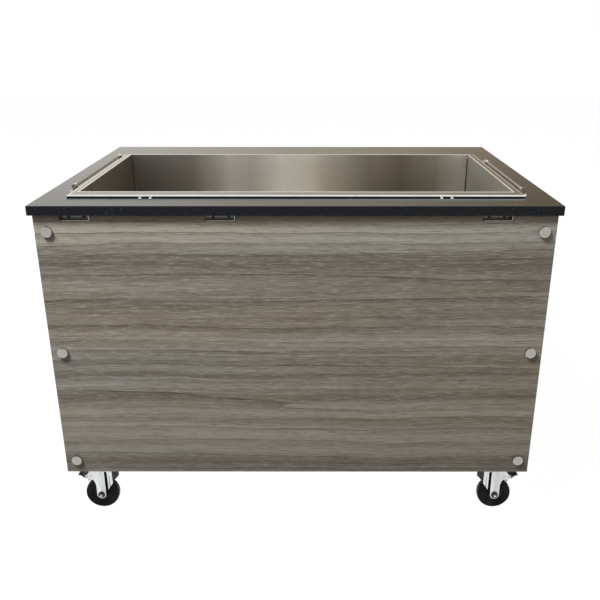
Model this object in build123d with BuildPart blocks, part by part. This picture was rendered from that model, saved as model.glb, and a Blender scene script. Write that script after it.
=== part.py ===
from build123d import *
from math import cos, radians, sin
import os

# Bain marie counter. Millimetres, +Z up, +X to the right as the guests see it, +Y to the operator's side.
# The origin is on the floor, below the centre of the worktop.

# Worktop
TOP_LENGTH = 1200.0
TOP_DEPTH = 850.0
TOP_HEIGHT = 850.0
SLAB = 22.0
TOP_CORNER = 4.0
TOP_ARRIS = 2.0
OVERHANG = 10.0
REAR_OVERHANG = 40.0

# Well, set by the width of worktop left at its ends, front and rear
END_MARGIN = 90.0
FRONT_MARGIN = 109.0
REAR_MARGIN = 212.0
TANK_DEPTH = 202.0
SHEET = 1.5
CUT_CLEARANCE = 4.5

# Rim of the well, a folded channel that stands on a gasket
RIM_WIDTH = 24.0
RIM_RISE = 10.0
RIM_ROUND = 2.0
RIM_SKIRT = 14.0
RIM_FLANGE = 11.0
RIM_MITRE_GAP = 0.3
GASKET = 2.0
GASKET_WIDTH = 9.0
GASKET_INSET = 1.0

# Dome screws beside the rim
DOME_R = 3.8
DOME_HEIGHT = 3.0
DOME_ROUND = 2.4
DOME_GAP = 0.8
DOME_SPACING = 24.0
DOME_PAIR_INSET = 160.0
DOME_SHANK_R = 2.0
DOME_SHANK = 14.0

# Ribbed rods beside the rim: gap to the rim, and how far each end stops short of the well's front and rear
LEFT_ROD_GAP = 10.0
LEFT_ROD_FRONT = 75.0
LEFT_ROD_REAR = -2.0
RIGHT_ROD_GAP = 7.0
RIGHT_ROD_FRONT = 35.0
RIGHT_ROD_REAR = 102.0
ROD_RISE = 7.0
ROD_R = 2.6
RIB_R = 3.8
RIB_PITCH = 5.5
RIB_STEPS = (0.25, 0.6, 0.85)
ROD_HEAD_R = 6.0
ROD_HEAD = 6.0
ROD_SOCKET_R = 2.6
ROD_SOCKET = 4.2
ROD_BLOCK_WIDTH = 9.0
ROD_BLOCK_LENGTH = 12.0
ROD_BLOCK_TOP = 5.0
ROD_SCREW_REACH = 28.0

# Panels on three sides, with round caps
BOARD = 18.0
PANEL_LIFT = 5.0
CAP_R = 13.0
CAP_THICKNESS = 7.5
CAP_EDGE = 1.2
CAP_INSET = 28.4
SIDE_CAP_INSET = 20.0
CAP_DROPS = (60.6, 360.0, 661.0)
STUD_R = 4.0
STUD_FIT = 0.3
STUD_LENGTH = 12.0
NUT_FLATS = 13.0
NUT_HEIGHT = 6.5

# Notches in the front panel's top edge, two from its left end and one from its right, each with a bracket
LEFT_NOTCH_INSETS = (93.5, 421.0)
RIGHT_NOTCH_INSET = 134.5
NOTCH_WIDTH = 70.0
NOTCH_HEIGHT = 15.0
NOTCH_GAP = 1.0
BRACKET_REACH = 16.5
BRACKET_SLOT = 9.0
BRACKET_SLOT_HEIGHT = 4.6
BRACKET_SCREW_SPACING = 34.0
BRACKET_SCREW_R = 2.1
BRACKET_HEAD_R = 3.6
BRACKET_HEAD = 2.2
BRACKET_SHANK = 8.0

# Frame of square tube
TUBE = 30.0
TUBE_WALL = 1.5
FASCIA_HEIGHT = 148.0
FLOOR_SHEET = 1.2

# Casters
CASTER_INSET_X = 71.0
CASTER_INSET_Y = 52.0
PAD = 6.0
PAD_LENGTH = 132.0
PAD_WIDTH = 96.0
PLATE_LENGTH = 100.0
PLATE_WIDTH = 80.0
PLATE = 3.5
PLATE_BOLT_X = 80.0
PLATE_BOLT_Y = 60.0
PLATE_BOLT_R = 4.0
RACE_R = 31.0
RACE_DEPTH = 8.5
SWIVEL_GAP = 0.3
CROWN_R = 33.0
CROWN = 4.2
KINGPIN_R = 6.0
KINGPIN_HEAD_R = 10.0
KINGPIN_HEAD = 4.0
WHEEL_CLEARANCE = 32.2
RUNNING_FIT = 0.05
WHEEL_R = 44.5
WHEEL_WIDTH = 25.0
HUB_WIDTH = 28.0
HUB_R = 14.0
WHEEL_STEPS = ((0.66, 0.66), (0.72, 0.86), (0.9, 0.92), (0.96, 0.85), (1.0, 0.5))
TRAIL = 27.5
LEG = 3.0
LEG_GAP = 1.0
LEG_BOSS_R = 12.0
FORK_HEEL = 24.0
FORK_HEEL_DROP = 19.5
FORK_KNEE = 4.0
FORK_KNEE_RISE = 40.0
FORK_NOSE = 7.0
FORK_NOSE_DROP = 8.0
AXLE_R = 4.0
AXLE_FLATS = 13.0
AXLE_HEAD = 5.0
AXLE_TIP = 2.0

# Brake pedal of a caster
PEDAL_AHEAD = 24.5
PEDAL_ABOVE = 12.0
PEDAL_PIN_R = 3.0
PEDAL_EAR_R = 7.0
PEDAL_EAR = 3.0
PEDAL_GAP = 0.4
PEDAL_PLATE = 3.0
PEDAL_REACH = 35.0
PEDAL_LIFT = 5.0
PEDAL_HEEL = 6.0
PEDAL_DIP = 2.0
PEDAL_TOE = 10.0
PEDAL_SIDE = 1.0
SHOE_NECK = 4.0
SHOE_TOP = 2.0
SHOE_GAP = 4.0
SHOE_DEPTH = 7.0
SHOE_START = 50.0
SHOE_END = 64.0

# Doors on the operator's side
DOOR = 18.0
DOOR_SKIN = 1.2
DOOR_HEM = 12.0
DOOR_GAP = 2.0
DOOR_MEETING_GAP = 3.0
KNUCKLE_R = 4.0
HINGE_PIN_R = 2.5
HINGE_HEIGHT = 60.0
HINGE_LEAF = 1.5
HINGE_LEAF_WIDTH = 26.0
HINGE_PLAY = 0.3
HINGE_INSET = 70.0
HANDLE_R = 5.0
HANDLE_LENGTH = 128.0
HANDLE_REACH = 26.0
HANDLE_BEND = 10.0
HANDLE_INSET = 42.0

# Heat, sensing and drain
INSULATION = 20.0
INSULATION_GAP = 0.3
CASING = 1.2
ELEMENT_R = 4.0
ELEMENT_BEND = 26.0
ELEMENT_RISE = 25.0
ELEMENT_MARGIN = 70.0
ELEMENT_REAR_MARGIN = 60.0
ELEMENT_LEG_X = 30.0
ELEMENT_TAIL = 24.0
ELEMENT_FOOT = 6.0
PROBE_R = 3.0
PROBE_LENGTH = 120.0
PROBE_X = -90.0
PROBE_RISE = 14.0
PROBE_NUT_FLATS = 12.0
PROBE_NUT = 6.0
CAPILLARY_R = 1.2
CAPILLARY_BEND = 12.0
DRAIN_SIDE_MARGIN = 130.0
DRAIN_REAR_MARGIN = 103.0
DRAIN_R = 16.0
DRAIN_BORE_R = 13.0
DRAIN_FLANGE_R = 30.0
DRAIN_FLANGE = 2.5
DRAIN_HOLE_R = 2.4
DRAIN_HOLE_RING = 7.8
VALVE_R = 21.0
VALVE_HEIGHT = 62.0
VALVE_NECK_R = 18.0
VALVE_NUT_R = 20.0
VALVE_COLLAR = 13.6
VALVE_SLOPE = 5.4
SPOUT_R = 11.0
SPOUT_BORE_R = 8.0
SPOUT_LENGTH = 34.0
STEM_R = 4.0
STEM_REACH = 16.0
STEM_ROOT = 6.0
LEVER_LENGTH = 82.0
LEVER_WIDTH = 16.0
LEVER = 4.0
LEVER_HUB_R = 9.0
LEVER_HUB = 6.0

# Controls in the rear fascia
CONTROL_BOX_LENGTH = 400.0
CONTROL_BOX_GAP = 2.0
KNOB_X = -120.0
KNOB_R = 21.0
KNOB_DEPTH = 20.0
KNOB_SKIRT = 5.0
KNOB_GRIP_R = 16.8
KNOB_POINTER = 5.0
KNOB_POINTER_REACH = 20.0
KNOB_GAP = 2.0
KNOB_SHAFT_R = 3.0
KNOB_SHAFT = 14.0
THERMOSTAT_SIZE = 38.0
THERMOSTAT_DEPTH = 32.0
ROCKER_X = 0.0
ROCKER_LENGTH = 26.0
ROCKER_HEIGHT = 18.0
ROCKER_DEPTH = 6.0
ROCKER_PLAY = 0.6
ROCKER_TILT = 7.0
ROCKER_FRAME = 3.0
ROCKER_WALL = 3.0
ROCKER_LIP = 1.8
SWITCH_DEPTH = 24.0
LAMP_X = 70.0
LAMP_R = 7.0
LAMP_LIP = 1.5
LAMP_REACH = 9.0
LAMP_RISE = 4.5
LAMP_ROUND = 2.2
GLAND_X = 150.0
GLAND_BORE_R = 5.0
GLAND_THREAD_R = 8.0
GLAND_FLATS = 24.0
GLAND_NUT = 6.0
GLAND_REACH = 22.0
GLAND_DOME_R = 10.0
GLAND_ROUND = 2.8

# Levels and faces that follow from those sizes
WELL_LENGTH = TOP_LENGTH - 2 * END_MARGIN
WELL_WIDTH = TOP_DEPTH - FRONT_MARGIN - REAR_MARGIN
WELL_Y = (FRONT_MARGIN - REAR_MARGIN) / 2
TANK_FRONT = WELL_Y - WELL_WIDTH / 2
TANK_REAR = WELL_Y + WELL_WIDTH / 2
RIM_SIDE = WELL_LENGTH / 2 + RIM_WIDTH
DOME_PAIR_X = WELL_LENGTH / 2 - DOME_PAIR_INSET
LEFT_ROD_X = -RIM_SIDE - LEFT_ROD_GAP
LEFT_ROD_ENDS = (TANK_FRONT + LEFT_ROD_FRONT, TANK_REAR - LEFT_ROD_REAR)
RIGHT_ROD_X = RIM_SIDE + RIGHT_ROD_GAP
RIGHT_ROD_ENDS = (TANK_FRONT + RIGHT_ROD_FRONT, TANK_REAR - RIGHT_ROD_REAR)
DRAIN_X = WELL_LENGTH / 2 - DRAIN_SIDE_MARGIN
DRAIN_Y = TANK_REAR - DRAIN_REAR_MARGIN
SLAB_BOTTOM = TOP_HEIGHT - SLAB
RIM_TOP = TOP_HEIGHT + RIM_RISE
RIM_BOTTOM = TOP_HEIGHT + GASKET
SKIRT_BOTTOM = RIM_TOP - RIM_SKIRT
TANK_FLOOR = RIM_TOP - TANK_DEPTH
TANK_BOTTOM = TANK_FLOOR - SHEET
HALF_BODY = TOP_LENGTH / 2 - OVERHANG
NOTCH_X = [inset - HALF_BODY for inset in LEFT_NOTCH_INSETS] + [HALF_BODY - RIGHT_NOTCH_INSET]
FRONT_FACE = OVERHANG - TOP_DEPTH / 2
REAR_FACE = TOP_DEPTH / 2 - REAR_OVERHANG
POST_FACE = FRONT_FACE + BOARD
POST_SIDE = HALF_BODY - BOARD
POST_X = POST_SIDE - TUBE / 2
POST_FRONT_Y = POST_FACE + TUBE / 2
POST_REAR_Y = REAR_FACE - TUBE / 2
BAY_HALF = POST_SIDE - TUBE
CROWN_BOTTOM = 2 * WHEEL_R + WHEEL_CLEARANCE + KINGPIN_HEAD + SWIVEL_GAP
CROWN_TOP = CROWN_BOTTOM + CROWN
PLATE_BOTTOM = CROWN_TOP + SWIVEL_GAP + RACE_DEPTH
CASTER_HEIGHT = PLATE_BOTTOM + PLATE
BASE_BOTTOM = CASTER_HEIGHT + PAD
BASE_TOP = BASE_BOTTOM + TUBE
RAIL_BOTTOM = SLAB_BOTTOM - TUBE
FASCIA_BOTTOM = RAIL_BOTTOM - FASCIA_HEIGHT
DOOR_RAIL_BOTTOM = FASCIA_BOTTOM - TUBE
PANEL_BOTTOM = BASE_BOTTOM + PANEL_LIFT
LAYERS = SHEET + INSULATION_GAP + INSULATION + CASING + STUD_FIT
CASING_BOTTOM = TANK_BOTTOM - INSULATION - CASING
CASING_REAR = TANK_REAR + SHEET + INSULATION_GAP + INSULATION + CASING
ELEMENT_Z = TANK_FLOOR + ELEMENT_RISE
ELEMENT_SIDE = WELL_LENGTH / 2 - ELEMENT_MARGIN
ELEMENT_FRONT = TANK_FRONT + ELEMENT_MARGIN
ELEMENT_REAR = TANK_REAR - ELEMENT_REAR_MARGIN
PROBE_Z = TANK_FLOOR + PROBE_RISE
CONTROL_Z = FASCIA_BOTTOM + FASCIA_HEIGHT / 2
CAP_LEVELS = [TOP_HEIGHT - drop for drop in CAP_DROPS]
CASTER_X = POST_SIDE - CASTER_INSET_X
CASTER_FRONT_Y = POST_FACE + CASTER_INSET_Y
CASTER_REAR_Y = REAR_FACE - CASTER_INSET_Y

os.makedirs("parts", exist_ok=True)


def save(piece, name):
    """Label a finished sub-part and write it to its own file."""
    piece.part.label = name
    export_step(piece.part, "parts/" + name + ".step")


def block(low, high, mode=Mode.ADD):
    """Add or cut a box between two corners of the part being built."""
    centre = tuple((a + b) / 2 for a, b in zip(low, high))
    size = [b - a for a, b in zip(low, high)]
    with Locations(centre):
        Box(*size, mode=mode)


def rod(start, direction, radius, length, mode=Mode.ADD):
    """Add or cut a cylinder that runs from a point along a direction."""
    plane = Plane(origin=start, z_dir=direction)
    with Locations(plane):
        Cylinder(radius, length, align=(Align.CENTER, Align.CENTER, Align.MIN), mode=mode)


def well_outline(spread):
    """Draw the well's outline, set outwards by a distance."""
    with Locations((0, WELL_Y)):
        Rectangle(WELL_LENGTH + 2 * spread, WELL_WIDTH + 2 * spread)


def wall_holes(gap):
    """Cut the passages of the drain, the element and the probe through a wall layer."""
    rod((DRAIN_X, DRAIN_Y, TANK_FLOOR), (0, 0, -1), DRAIN_R + STUD_FIT, LAYERS, Mode.SUBTRACT)
    for x in (-ELEMENT_LEG_X, ELEMENT_LEG_X):
        rod((x, TANK_REAR, ELEMENT_Z), (0, 1, 0), ELEMENT_R + gap, LAYERS, Mode.SUBTRACT)
    rod((PROBE_X, TANK_REAR, PROBE_Z), (0, 1, 0), PROBE_R + gap, LAYERS, Mode.SUBTRACT)


def welded_box(spread, sheet, bottom, top, gap):
    """Make an open box round the well from a floor and four walls that meet face to face."""
    half = WELL_LENGTH / 2 + spread
    front = TANK_FRONT - spread
    rear = TANK_REAR + spread
    level = bottom + sheet
    places = [
        ((-half - sheet, front - sheet, bottom), (half + sheet, rear + sheet, level)),
        ((-half - sheet, front - sheet, level), (half + sheet, front, top)),
        ((-half - sheet, rear, level), (half + sheet, rear + sheet, top)),
        ((-half - sheet, front, level), (-half, rear, top)),
        ((half, front, level), (half + sheet, rear, top)),
    ]
    sheets = []
    for low, high in places:
        with BuildPart() as flat:
            block(low, high)
            wall_holes(gap)
        sheets.append(flat.part)
    return sheets


# Granite worktop with its cut-out
with BuildPart() as worktop:
    with BuildSketch(Plane.XY.offset(SLAB_BOTTOM)):
        RectangleRounded(TOP_LENGTH, TOP_DEPTH, TOP_CORNER)
    extrude(amount=SLAB)
    faces_up_and_down = worktop.faces().filter_by(Axis.Z)
    fillet(faces_up_and_down.edges(), TOP_ARRIS)
    with BuildSketch(Plane.XY.offset(SLAB_BOTTOM)):
        well_outline(SHEET + CUT_CLEARANCE)
    extrude(amount=SLAB, mode=Mode.SUBTRACT)
    for side in (-1, 1):
        for x in (-DOME_PAIR_X, DOME_PAIR_X):
            y = WELL_Y + side * (WELL_WIDTH / 2 + RIM_WIDTH + DOME_GAP + DOME_R)
            for step in (-DOME_SPACING / 2, DOME_SPACING / 2):
                rod((x + step, y, TOP_HEIGHT), (0, 0, -1), DOME_SHANK_R, DOME_SHANK, Mode.SUBTRACT)
    for x, ends in ((LEFT_ROD_X, LEFT_ROD_ENDS), (RIGHT_ROD_X, RIGHT_ROD_ENDS)):
        for y in (ends[0] - ROD_SCREW_REACH, ends[1] + ROD_SCREW_REACH):
            rod((x, y, TOP_HEIGHT), (0, 0, -1), DOME_SHANK_R, DOME_SHANK, Mode.SUBTRACT)
save(worktop, "worktop")

# Deep tank of the well, welded from five sheets and open at the top
tank_sheets = welded_box(0, SHEET, TANK_BOTTOM, SKIRT_BOTTOM, RUNNING_FIT)
with BuildPart() as well_tank:
    add(tank_sheets, mode=Mode.REPLACE)
save(well_tank, "well_tank")

# Rim of the well, four mitred rails: inner skirt, flat top, outer skirt and a flange turned in below
with BuildPart() as well_rim:
    with BuildSketch(Plane.XY.offset(RIM_BOTTOM)):
        well_outline(RIM_WIDTH)
    extrude(amount=RIM_TOP - RIM_BOTTOM)
    fillet(well_rim.faces().sort_by(Axis.Z)[-1].edges(), RIM_ROUND)
    with BuildSketch(Plane.XY.offset(RIM_BOTTOM + SHEET)):
        well_outline(RIM_WIDTH - SHEET)
    extrude(amount=RIM_TOP - RIM_BOTTOM - 2 * SHEET, mode=Mode.SUBTRACT)
    with BuildSketch(Plane.XY.offset(RIM_BOTTOM)):
        well_outline(RIM_WIDTH - RIM_FLANGE)
    extrude(amount=SHEET, mode=Mode.SUBTRACT)
    with BuildSketch(Plane.XY.offset(SKIRT_BOTTOM)):
        well_outline(SHEET)
    extrude(amount=RIM_TOP - SKIRT_BOTTOM - SHEET / 2)
    with BuildSketch(Plane.XY.offset(SKIRT_BOTTOM)):
        well_outline(0)
    extrude(amount=RIM_SKIRT, mode=Mode.SUBTRACT)
    for across in (-1, 1):
        for along in (-1, 1):
            corner = (across * WELL_LENGTH / 2, WELL_Y + along * WELL_WIDTH / 2, SKIRT_BOTTOM)
            with Locations(Location(corner, (0, 0, 45 * across * along))):
                corner_cut = (Align.CENTER, Align.CENTER, Align.MIN)
                Box(4 * RIM_WIDTH, RIM_MITRE_GAP, RIM_SKIRT, align=corner_cut, mode=Mode.SUBTRACT)
save(well_rim, "well_rim")

# Soft gasket between the rim's flange and the granite
with BuildPart() as rim_gasket:
    with BuildSketch(Plane.XY.offset(TOP_HEIGHT)):
        well_outline(RIM_WIDTH - GASKET_INSET)
        with Locations((0, WELL_Y)):
            inner = RIM_WIDTH - GASKET_INSET - GASKET_WIDTH
            Rectangle(WELL_LENGTH + 2 * inner, WELL_WIDTH + 2 * inner, mode=Mode.SUBTRACT)
    extrude(amount=GASKET)
save(rim_gasket, "rim_gasket")


def dome_screw(x, y):
    """Add one dome screw whose head stands on the granite."""
    with Locations((x, y, TOP_HEIGHT)):
        Cylinder(DOME_R, DOME_HEIGHT, align=(Align.CENTER, Align.CENTER, Align.MIN))
    rod((x, y, TOP_HEIGHT), (0, 0, -1), DOME_SHANK_R, DOME_SHANK)


# Dome screws: a pair at each clip of the front and rear rim, and one beyond each rod end
with BuildPart() as rim_screws:
    for side in (-1, 1):
        y = WELL_Y + side * (WELL_WIDTH / 2 + RIM_WIDTH + DOME_GAP + DOME_R)
        for x in (-DOME_PAIR_X, DOME_PAIR_X):
            for step in (-DOME_SPACING / 2, DOME_SPACING / 2):
                dome_screw(x + step, y)
    for x, ends in ((LEFT_ROD_X, LEFT_ROD_ENDS), (RIGHT_ROD_X, RIGHT_ROD_ENDS)):
        for y in (ends[0] - ROD_SCREW_REACH, ends[1] + ROD_SCREW_REACH):
            dome_screw(x, y)
    dome_tops = rim_screws.faces().filter_by(Axis.Z).group_by(Axis.Z)[-1]
    fillet(dome_tops.edges(), DOME_ROUND)
save(rim_screws, "rim_screws")


def rod_blocks_at(x, ends):
    """Add the two low blocks that a side rod lies in."""
    for y, into in ((ends[0], 1), (ends[1], -1)):
        near = y
        far = y + into * ROD_BLOCK_LENGTH
        low = (x - ROD_BLOCK_WIDTH / 2, min(near, far), TOP_HEIGHT)
        high = (x + ROD_BLOCK_WIDTH / 2, max(near, far), TOP_HEIGHT + ROD_RISE + ROD_BLOCK_TOP)
        block(low, high)
        bore = (x, min(near, far), TOP_HEIGHT + ROD_RISE)
        rod(bore, (0, 1, 0), ROD_R + RUNNING_FIT, ROD_BLOCK_LENGTH, Mode.SUBTRACT)


# Blocks of both side rods
with BuildPart() as rod_blocks:
    rod_blocks_at(LEFT_ROD_X, LEFT_ROD_ENDS)
    rod_blocks_at(RIGHT_ROD_X, RIGHT_ROD_ENDS)
save(rod_blocks, "rod_blocks")


def rib_profile(length):
    """Work out the half outline of a ribbed rod of this length between its blocks."""
    count = int((length - 2 * RIB_PITCH) / RIB_PITCH)
    start = (length - count * RIB_PITCH) / 2
    points = []
    for i in range(count):
        foot = start + i * RIB_PITCH
        points.append((ROD_R, foot))
        points.append((RIB_R, foot + RIB_PITCH * RIB_STEPS[0]))
        points.append((RIB_R, foot + RIB_PITCH * RIB_STEPS[1]))
        points.append((ROD_R, foot + RIB_PITCH * RIB_STEPS[2]))
    return points


def side_rod(x, ends, name):
    """Make one ribbed rod with its socket head at the guests' end."""
    low = ends[0]
    high = ends[1]
    clear = ROD_BLOCK_LENGTH
    z = TOP_HEIGHT + ROD_RISE
    ribs = [(r, low + clear + y) for r, y in rib_profile(high - low - 2 * clear)]
    with BuildPart() as side:
        with BuildSketch(Plane(origin=(x, 0, z), x_dir=(1, 0, 0), z_dir=(0, 0, 1))):
            outline = [(0, low - ROD_HEAD), (ROD_HEAD_R, low - ROD_HEAD), (ROD_HEAD_R, low)]
            outline += [(ROD_R, low)] + ribs + [(ROD_R, high), (0, high)]
            Polygon(*outline, align=None)
        revolve(axis=Axis((x, 0, z), (0, 1, 0)))
        rod((x, low - ROD_HEAD, z), (0, 1, 0), ROD_SOCKET_R, ROD_SOCKET, Mode.SUBTRACT)
    save(side, name)


side_rod(LEFT_ROD_X, LEFT_ROD_ENDS, "left_rim_rod")
side_rod(RIGHT_ROD_X, RIGHT_ROD_ENDS, "right_rim_rod")


# Insulation around the tank
with BuildPart() as tank_insulation:
    with BuildSketch(Plane.XY.offset(TANK_BOTTOM - INSULATION)):
        well_outline(SHEET + INSULATION_GAP + INSULATION)
    extrude(amount=SLAB_BOTTOM - TANK_BOTTOM + INSULATION)
    with BuildSketch(Plane.XY.offset(TANK_BOTTOM)):
        well_outline(SHEET + INSULATION_GAP)
    extrude(amount=SLAB_BOTTOM - TANK_BOTTOM, mode=Mode.SUBTRACT)
    wall_holes(STUD_FIT)
save(tank_insulation, "tank_insulation")

# Sheet casing around the insulation, joined from five sheets
casing_spread = SHEET + INSULATION_GAP + INSULATION
casing_sheets = welded_box(casing_spread, CASING, CASING_BOTTOM, SLAB_BOTTOM, STUD_FIT)
with BuildPart() as well_casing:
    add(casing_sheets, mode=Mode.REPLACE)
save(well_casing, "well_casing")

# Tubular heating element, one loop just above the tank's floor on four welded feet
with BuildPart() as heating_element:
    tail_y = CASING_REAR + ELEMENT_TAIL
    with BuildLine():
        FilletPolyline(
            (-ELEMENT_LEG_X, tail_y, ELEMENT_Z),
            (-ELEMENT_LEG_X, ELEMENT_REAR, ELEMENT_Z),
            (-ELEMENT_SIDE, ELEMENT_REAR, ELEMENT_Z),
            (-ELEMENT_SIDE, ELEMENT_FRONT, ELEMENT_Z),
            (ELEMENT_SIDE, ELEMENT_FRONT, ELEMENT_Z),
            (ELEMENT_SIDE, ELEMENT_REAR, ELEMENT_Z),
            (ELEMENT_LEG_X, ELEMENT_REAR, ELEMENT_Z),
            (ELEMENT_LEG_X, tail_y, ELEMENT_Z),
            radius=ELEMENT_BEND,
        )
    with BuildSketch(Plane(origin=(-ELEMENT_LEG_X, tail_y, ELEMENT_Z), z_dir=(0, -1, 0))):
        Circle(ELEMENT_R)
    sweep()
    for x in (-ELEMENT_SIDE, ELEMENT_SIDE):
        for y in (ELEMENT_FRONT + 2 * ELEMENT_BEND, ELEMENT_REAR - 2 * ELEMENT_BEND):
            low = (x - ELEMENT_FOOT / 2, y - ELEMENT_FOOT / 2, TANK_FLOOR)
            block(low, (x + ELEMENT_FOOT / 2, y + ELEMENT_FOOT / 2, ELEMENT_Z))
save(heating_element, "heating_element")

# Thermostat probe with its nut, and the capillary to the thermostat
with BuildPart() as thermostat_probe:
    rod((PROBE_X, TANK_REAR - PROBE_LENGTH, PROBE_Z), (0, 1, 0), PROBE_R, PROBE_LENGTH + LAYERS)
    with BuildSketch(Plane(origin=(PROBE_X, CASING_REAR, PROBE_Z), z_dir=(0, 1, 0))):
        RegularPolygon(PROBE_NUT_FLATS / 2, 6, major_radius=False)
    extrude(amount=PROBE_NUT)
    probe_end = CASING_REAR + PROBE_NUT
    back_of_thermostat = REAR_FACE - SHEET - THERMOSTAT_DEPTH
    turn_y = (probe_end + back_of_thermostat) / 2
    with BuildLine():
        FilletPolyline(
            (PROBE_X, probe_end, PROBE_Z),
            (PROBE_X, turn_y, PROBE_Z),
            (KNOB_X, turn_y, CONTROL_Z),
            (KNOB_X, back_of_thermostat, CONTROL_Z),
            radius=CAPILLARY_BEND,
        )
    with BuildSketch(Plane(origin=(PROBE_X, probe_end, PROBE_Z), z_dir=(0, 1, 0))):
        Circle(CAPILLARY_R)
    sweep()
save(thermostat_probe, "thermostat_probe")

# Drain flange and tail, through the tank's floor
with BuildPart() as drain_flange:
    with Locations((DRAIN_X, DRAIN_Y, TANK_FLOOR)):
        Cylinder(DRAIN_FLANGE_R, DRAIN_FLANGE, align=(Align.CENTER, Align.CENTER, Align.MIN))
    tail = TANK_FLOOR - CASING_BOTTOM
    rod((DRAIN_X, DRAIN_Y, TANK_FLOOR), (0, 0, -1), DRAIN_R, tail)
    rod((DRAIN_X, DRAIN_Y, TANK_FLOOR), (0, 0, -1), DRAIN_BORE_R, tail, Mode.SUBTRACT)
    with BuildSketch(Plane.XY.offset(TANK_FLOOR)):
        with Locations((DRAIN_X, DRAIN_Y)):
            with PolarLocations(DRAIN_HOLE_RING, 6):
                Circle(DRAIN_HOLE_R)
            Circle(DRAIN_HOLE_R)
    extrude(amount=DRAIN_FLANGE, mode=Mode.SUBTRACT)
save(drain_flange, "drain_flange")

# Ball valve on the tail, with a hose spout below
VALVE_BOTTOM = CASING_BOTTOM - VALVE_HEIGHT
STEM_Z = CASING_BOTTOM - VALVE_HEIGHT / 2
VALVE_FACE = DRAIN_Y + VALVE_R
with BuildPart() as drain_valve:
    with BuildSketch(Plane(origin=(DRAIN_X, DRAIN_Y, 0), x_dir=(1, 0, 0), z_dir=(0, -1, 0))):
        Polygon(
            (SPOUT_BORE_R, VALVE_BOTTOM - SPOUT_LENGTH),
            (SPOUT_R, VALVE_BOTTOM - SPOUT_LENGTH),
            (SPOUT_R, VALVE_BOTTOM),
            (VALVE_NECK_R, VALVE_BOTTOM),
            (VALVE_NECK_R, VALVE_BOTTOM + VALVE_COLLAR),
            (VALVE_R, VALVE_BOTTOM + VALVE_COLLAR + VALVE_SLOPE),
            (VALVE_R, CASING_BOTTOM - VALVE_COLLAR - VALVE_SLOPE),
            (VALVE_NUT_R, CASING_BOTTOM - VALVE_COLLAR),
            (VALVE_NUT_R, CASING_BOTTOM),
            (SPOUT_BORE_R, CASING_BOTTOM),
            align=None,
        )
    revolve(axis=Axis((DRAIN_X, DRAIN_Y, 0), (0, 0, 1)))
    root_y = VALVE_FACE - STEM_ROOT
    rod((DRAIN_X, root_y, STEM_Z), (0, 1, 0), 2 * STEM_R, STEM_ROOT + STEM_REACH / 2)
    rod((DRAIN_X, root_y, STEM_Z), (0, 1, 0), STEM_R, STEM_ROOT + STEM_REACH)
save(drain_valve, "drain_valve")

# Lever of the valve, level when it is shut
with BuildPart() as valve_lever:
    hub_y = VALVE_FACE + STEM_REACH / 2 + SWIVEL_GAP
    rod((DRAIN_X, hub_y, STEM_Z), (0, 1, 0), LEVER_HUB_R, LEVER_HUB)
    with BuildSketch(Plane(origin=(DRAIN_X, hub_y, STEM_Z), x_dir=(1, 0, 0), z_dir=(0, -1, 0))):
        with Locations((-LEVER_LENGTH / 2, 0)):
            SlotOverall(LEVER_LENGTH + LEVER_WIDTH, LEVER_WIDTH)
    extrude(amount=-LEVER)
    rod((DRAIN_X, hub_y, STEM_Z), (0, 1, 0), STEM_R + RUNNING_FIT, LEVER_HUB, Mode.SUBTRACT)
save(valve_lever, "valve_lever")

# Square-tube posts at the corners
with BuildPart() as frame_posts:
    with BuildSketch(Plane.XY.offset(BASE_BOTTOM)):
        for x in (-POST_X, POST_X):
            for y in (POST_FRONT_Y, POST_REAR_Y):
                with Locations((x, y)):
                    Rectangle(TUBE, TUBE)
                    Rectangle(TUBE - 2 * TUBE_WALL, TUBE - 2 * TUBE_WALL, mode=Mode.SUBTRACT)
    extrude(amount=SLAB_BOTTOM - BASE_BOTTOM)
    for z in CAP_LEVELS:
        for side in (-1, 1):
            front_x = side * (HALF_BODY - CAP_INSET)
            rod((front_x, POST_FACE, z), (0, 1, 0), STUD_R + STUD_FIT, TUBE_WALL, Mode.SUBTRACT)
            for y in (POST_FACE + SIDE_CAP_INSET, REAR_FACE - SIDE_CAP_INSET):
                inward = (-side, 0, 0)
                rod((side * POST_SIDE, y, z), inward, STUD_R + STUD_FIT, TUBE_WALL, Mode.SUBTRACT)
save(frame_posts, "frame_posts")


def cross_rail(y, bottom):
    """Add a rail along X between two posts, its outer side at the posts' middle line."""
    block((-BAY_HALF, y - TUBE / 2, bottom), (BAY_HALF, y + TUBE / 2, bottom + TUBE))
    inner = TUBE / 2 - TUBE_WALL
    low = (-BAY_HALF, y - inner, bottom + TUBE_WALL)
    block(low, (BAY_HALF, y + inner, bottom + TUBE - TUBE_WALL), Mode.SUBTRACT)


def side_rail(x, bottom):
    """Add a rail along Y between a front and a rear post."""
    front = POST_FACE + TUBE
    rear = REAR_FACE - TUBE
    block((x - TUBE / 2, front, bottom), (x + TUBE / 2, rear, bottom + TUBE))
    inner = TUBE / 2 - TUBE_WALL
    low = (x - inner, front, bottom + TUBE_WALL)
    block(low, (x + inner, rear, bottom + TUBE - TUBE_WALL), Mode.SUBTRACT)


def bracket_screw_places():
    """List the centres of the bracket screws in the notches."""
    places = []
    for x in NOTCH_X:
        for step in (-BRACKET_SCREW_SPACING / 2, BRACKET_SCREW_SPACING / 2):
            places.append((x + step, SLAB_BOTTOM - NOTCH_HEIGHT / 2))
    return places


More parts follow.
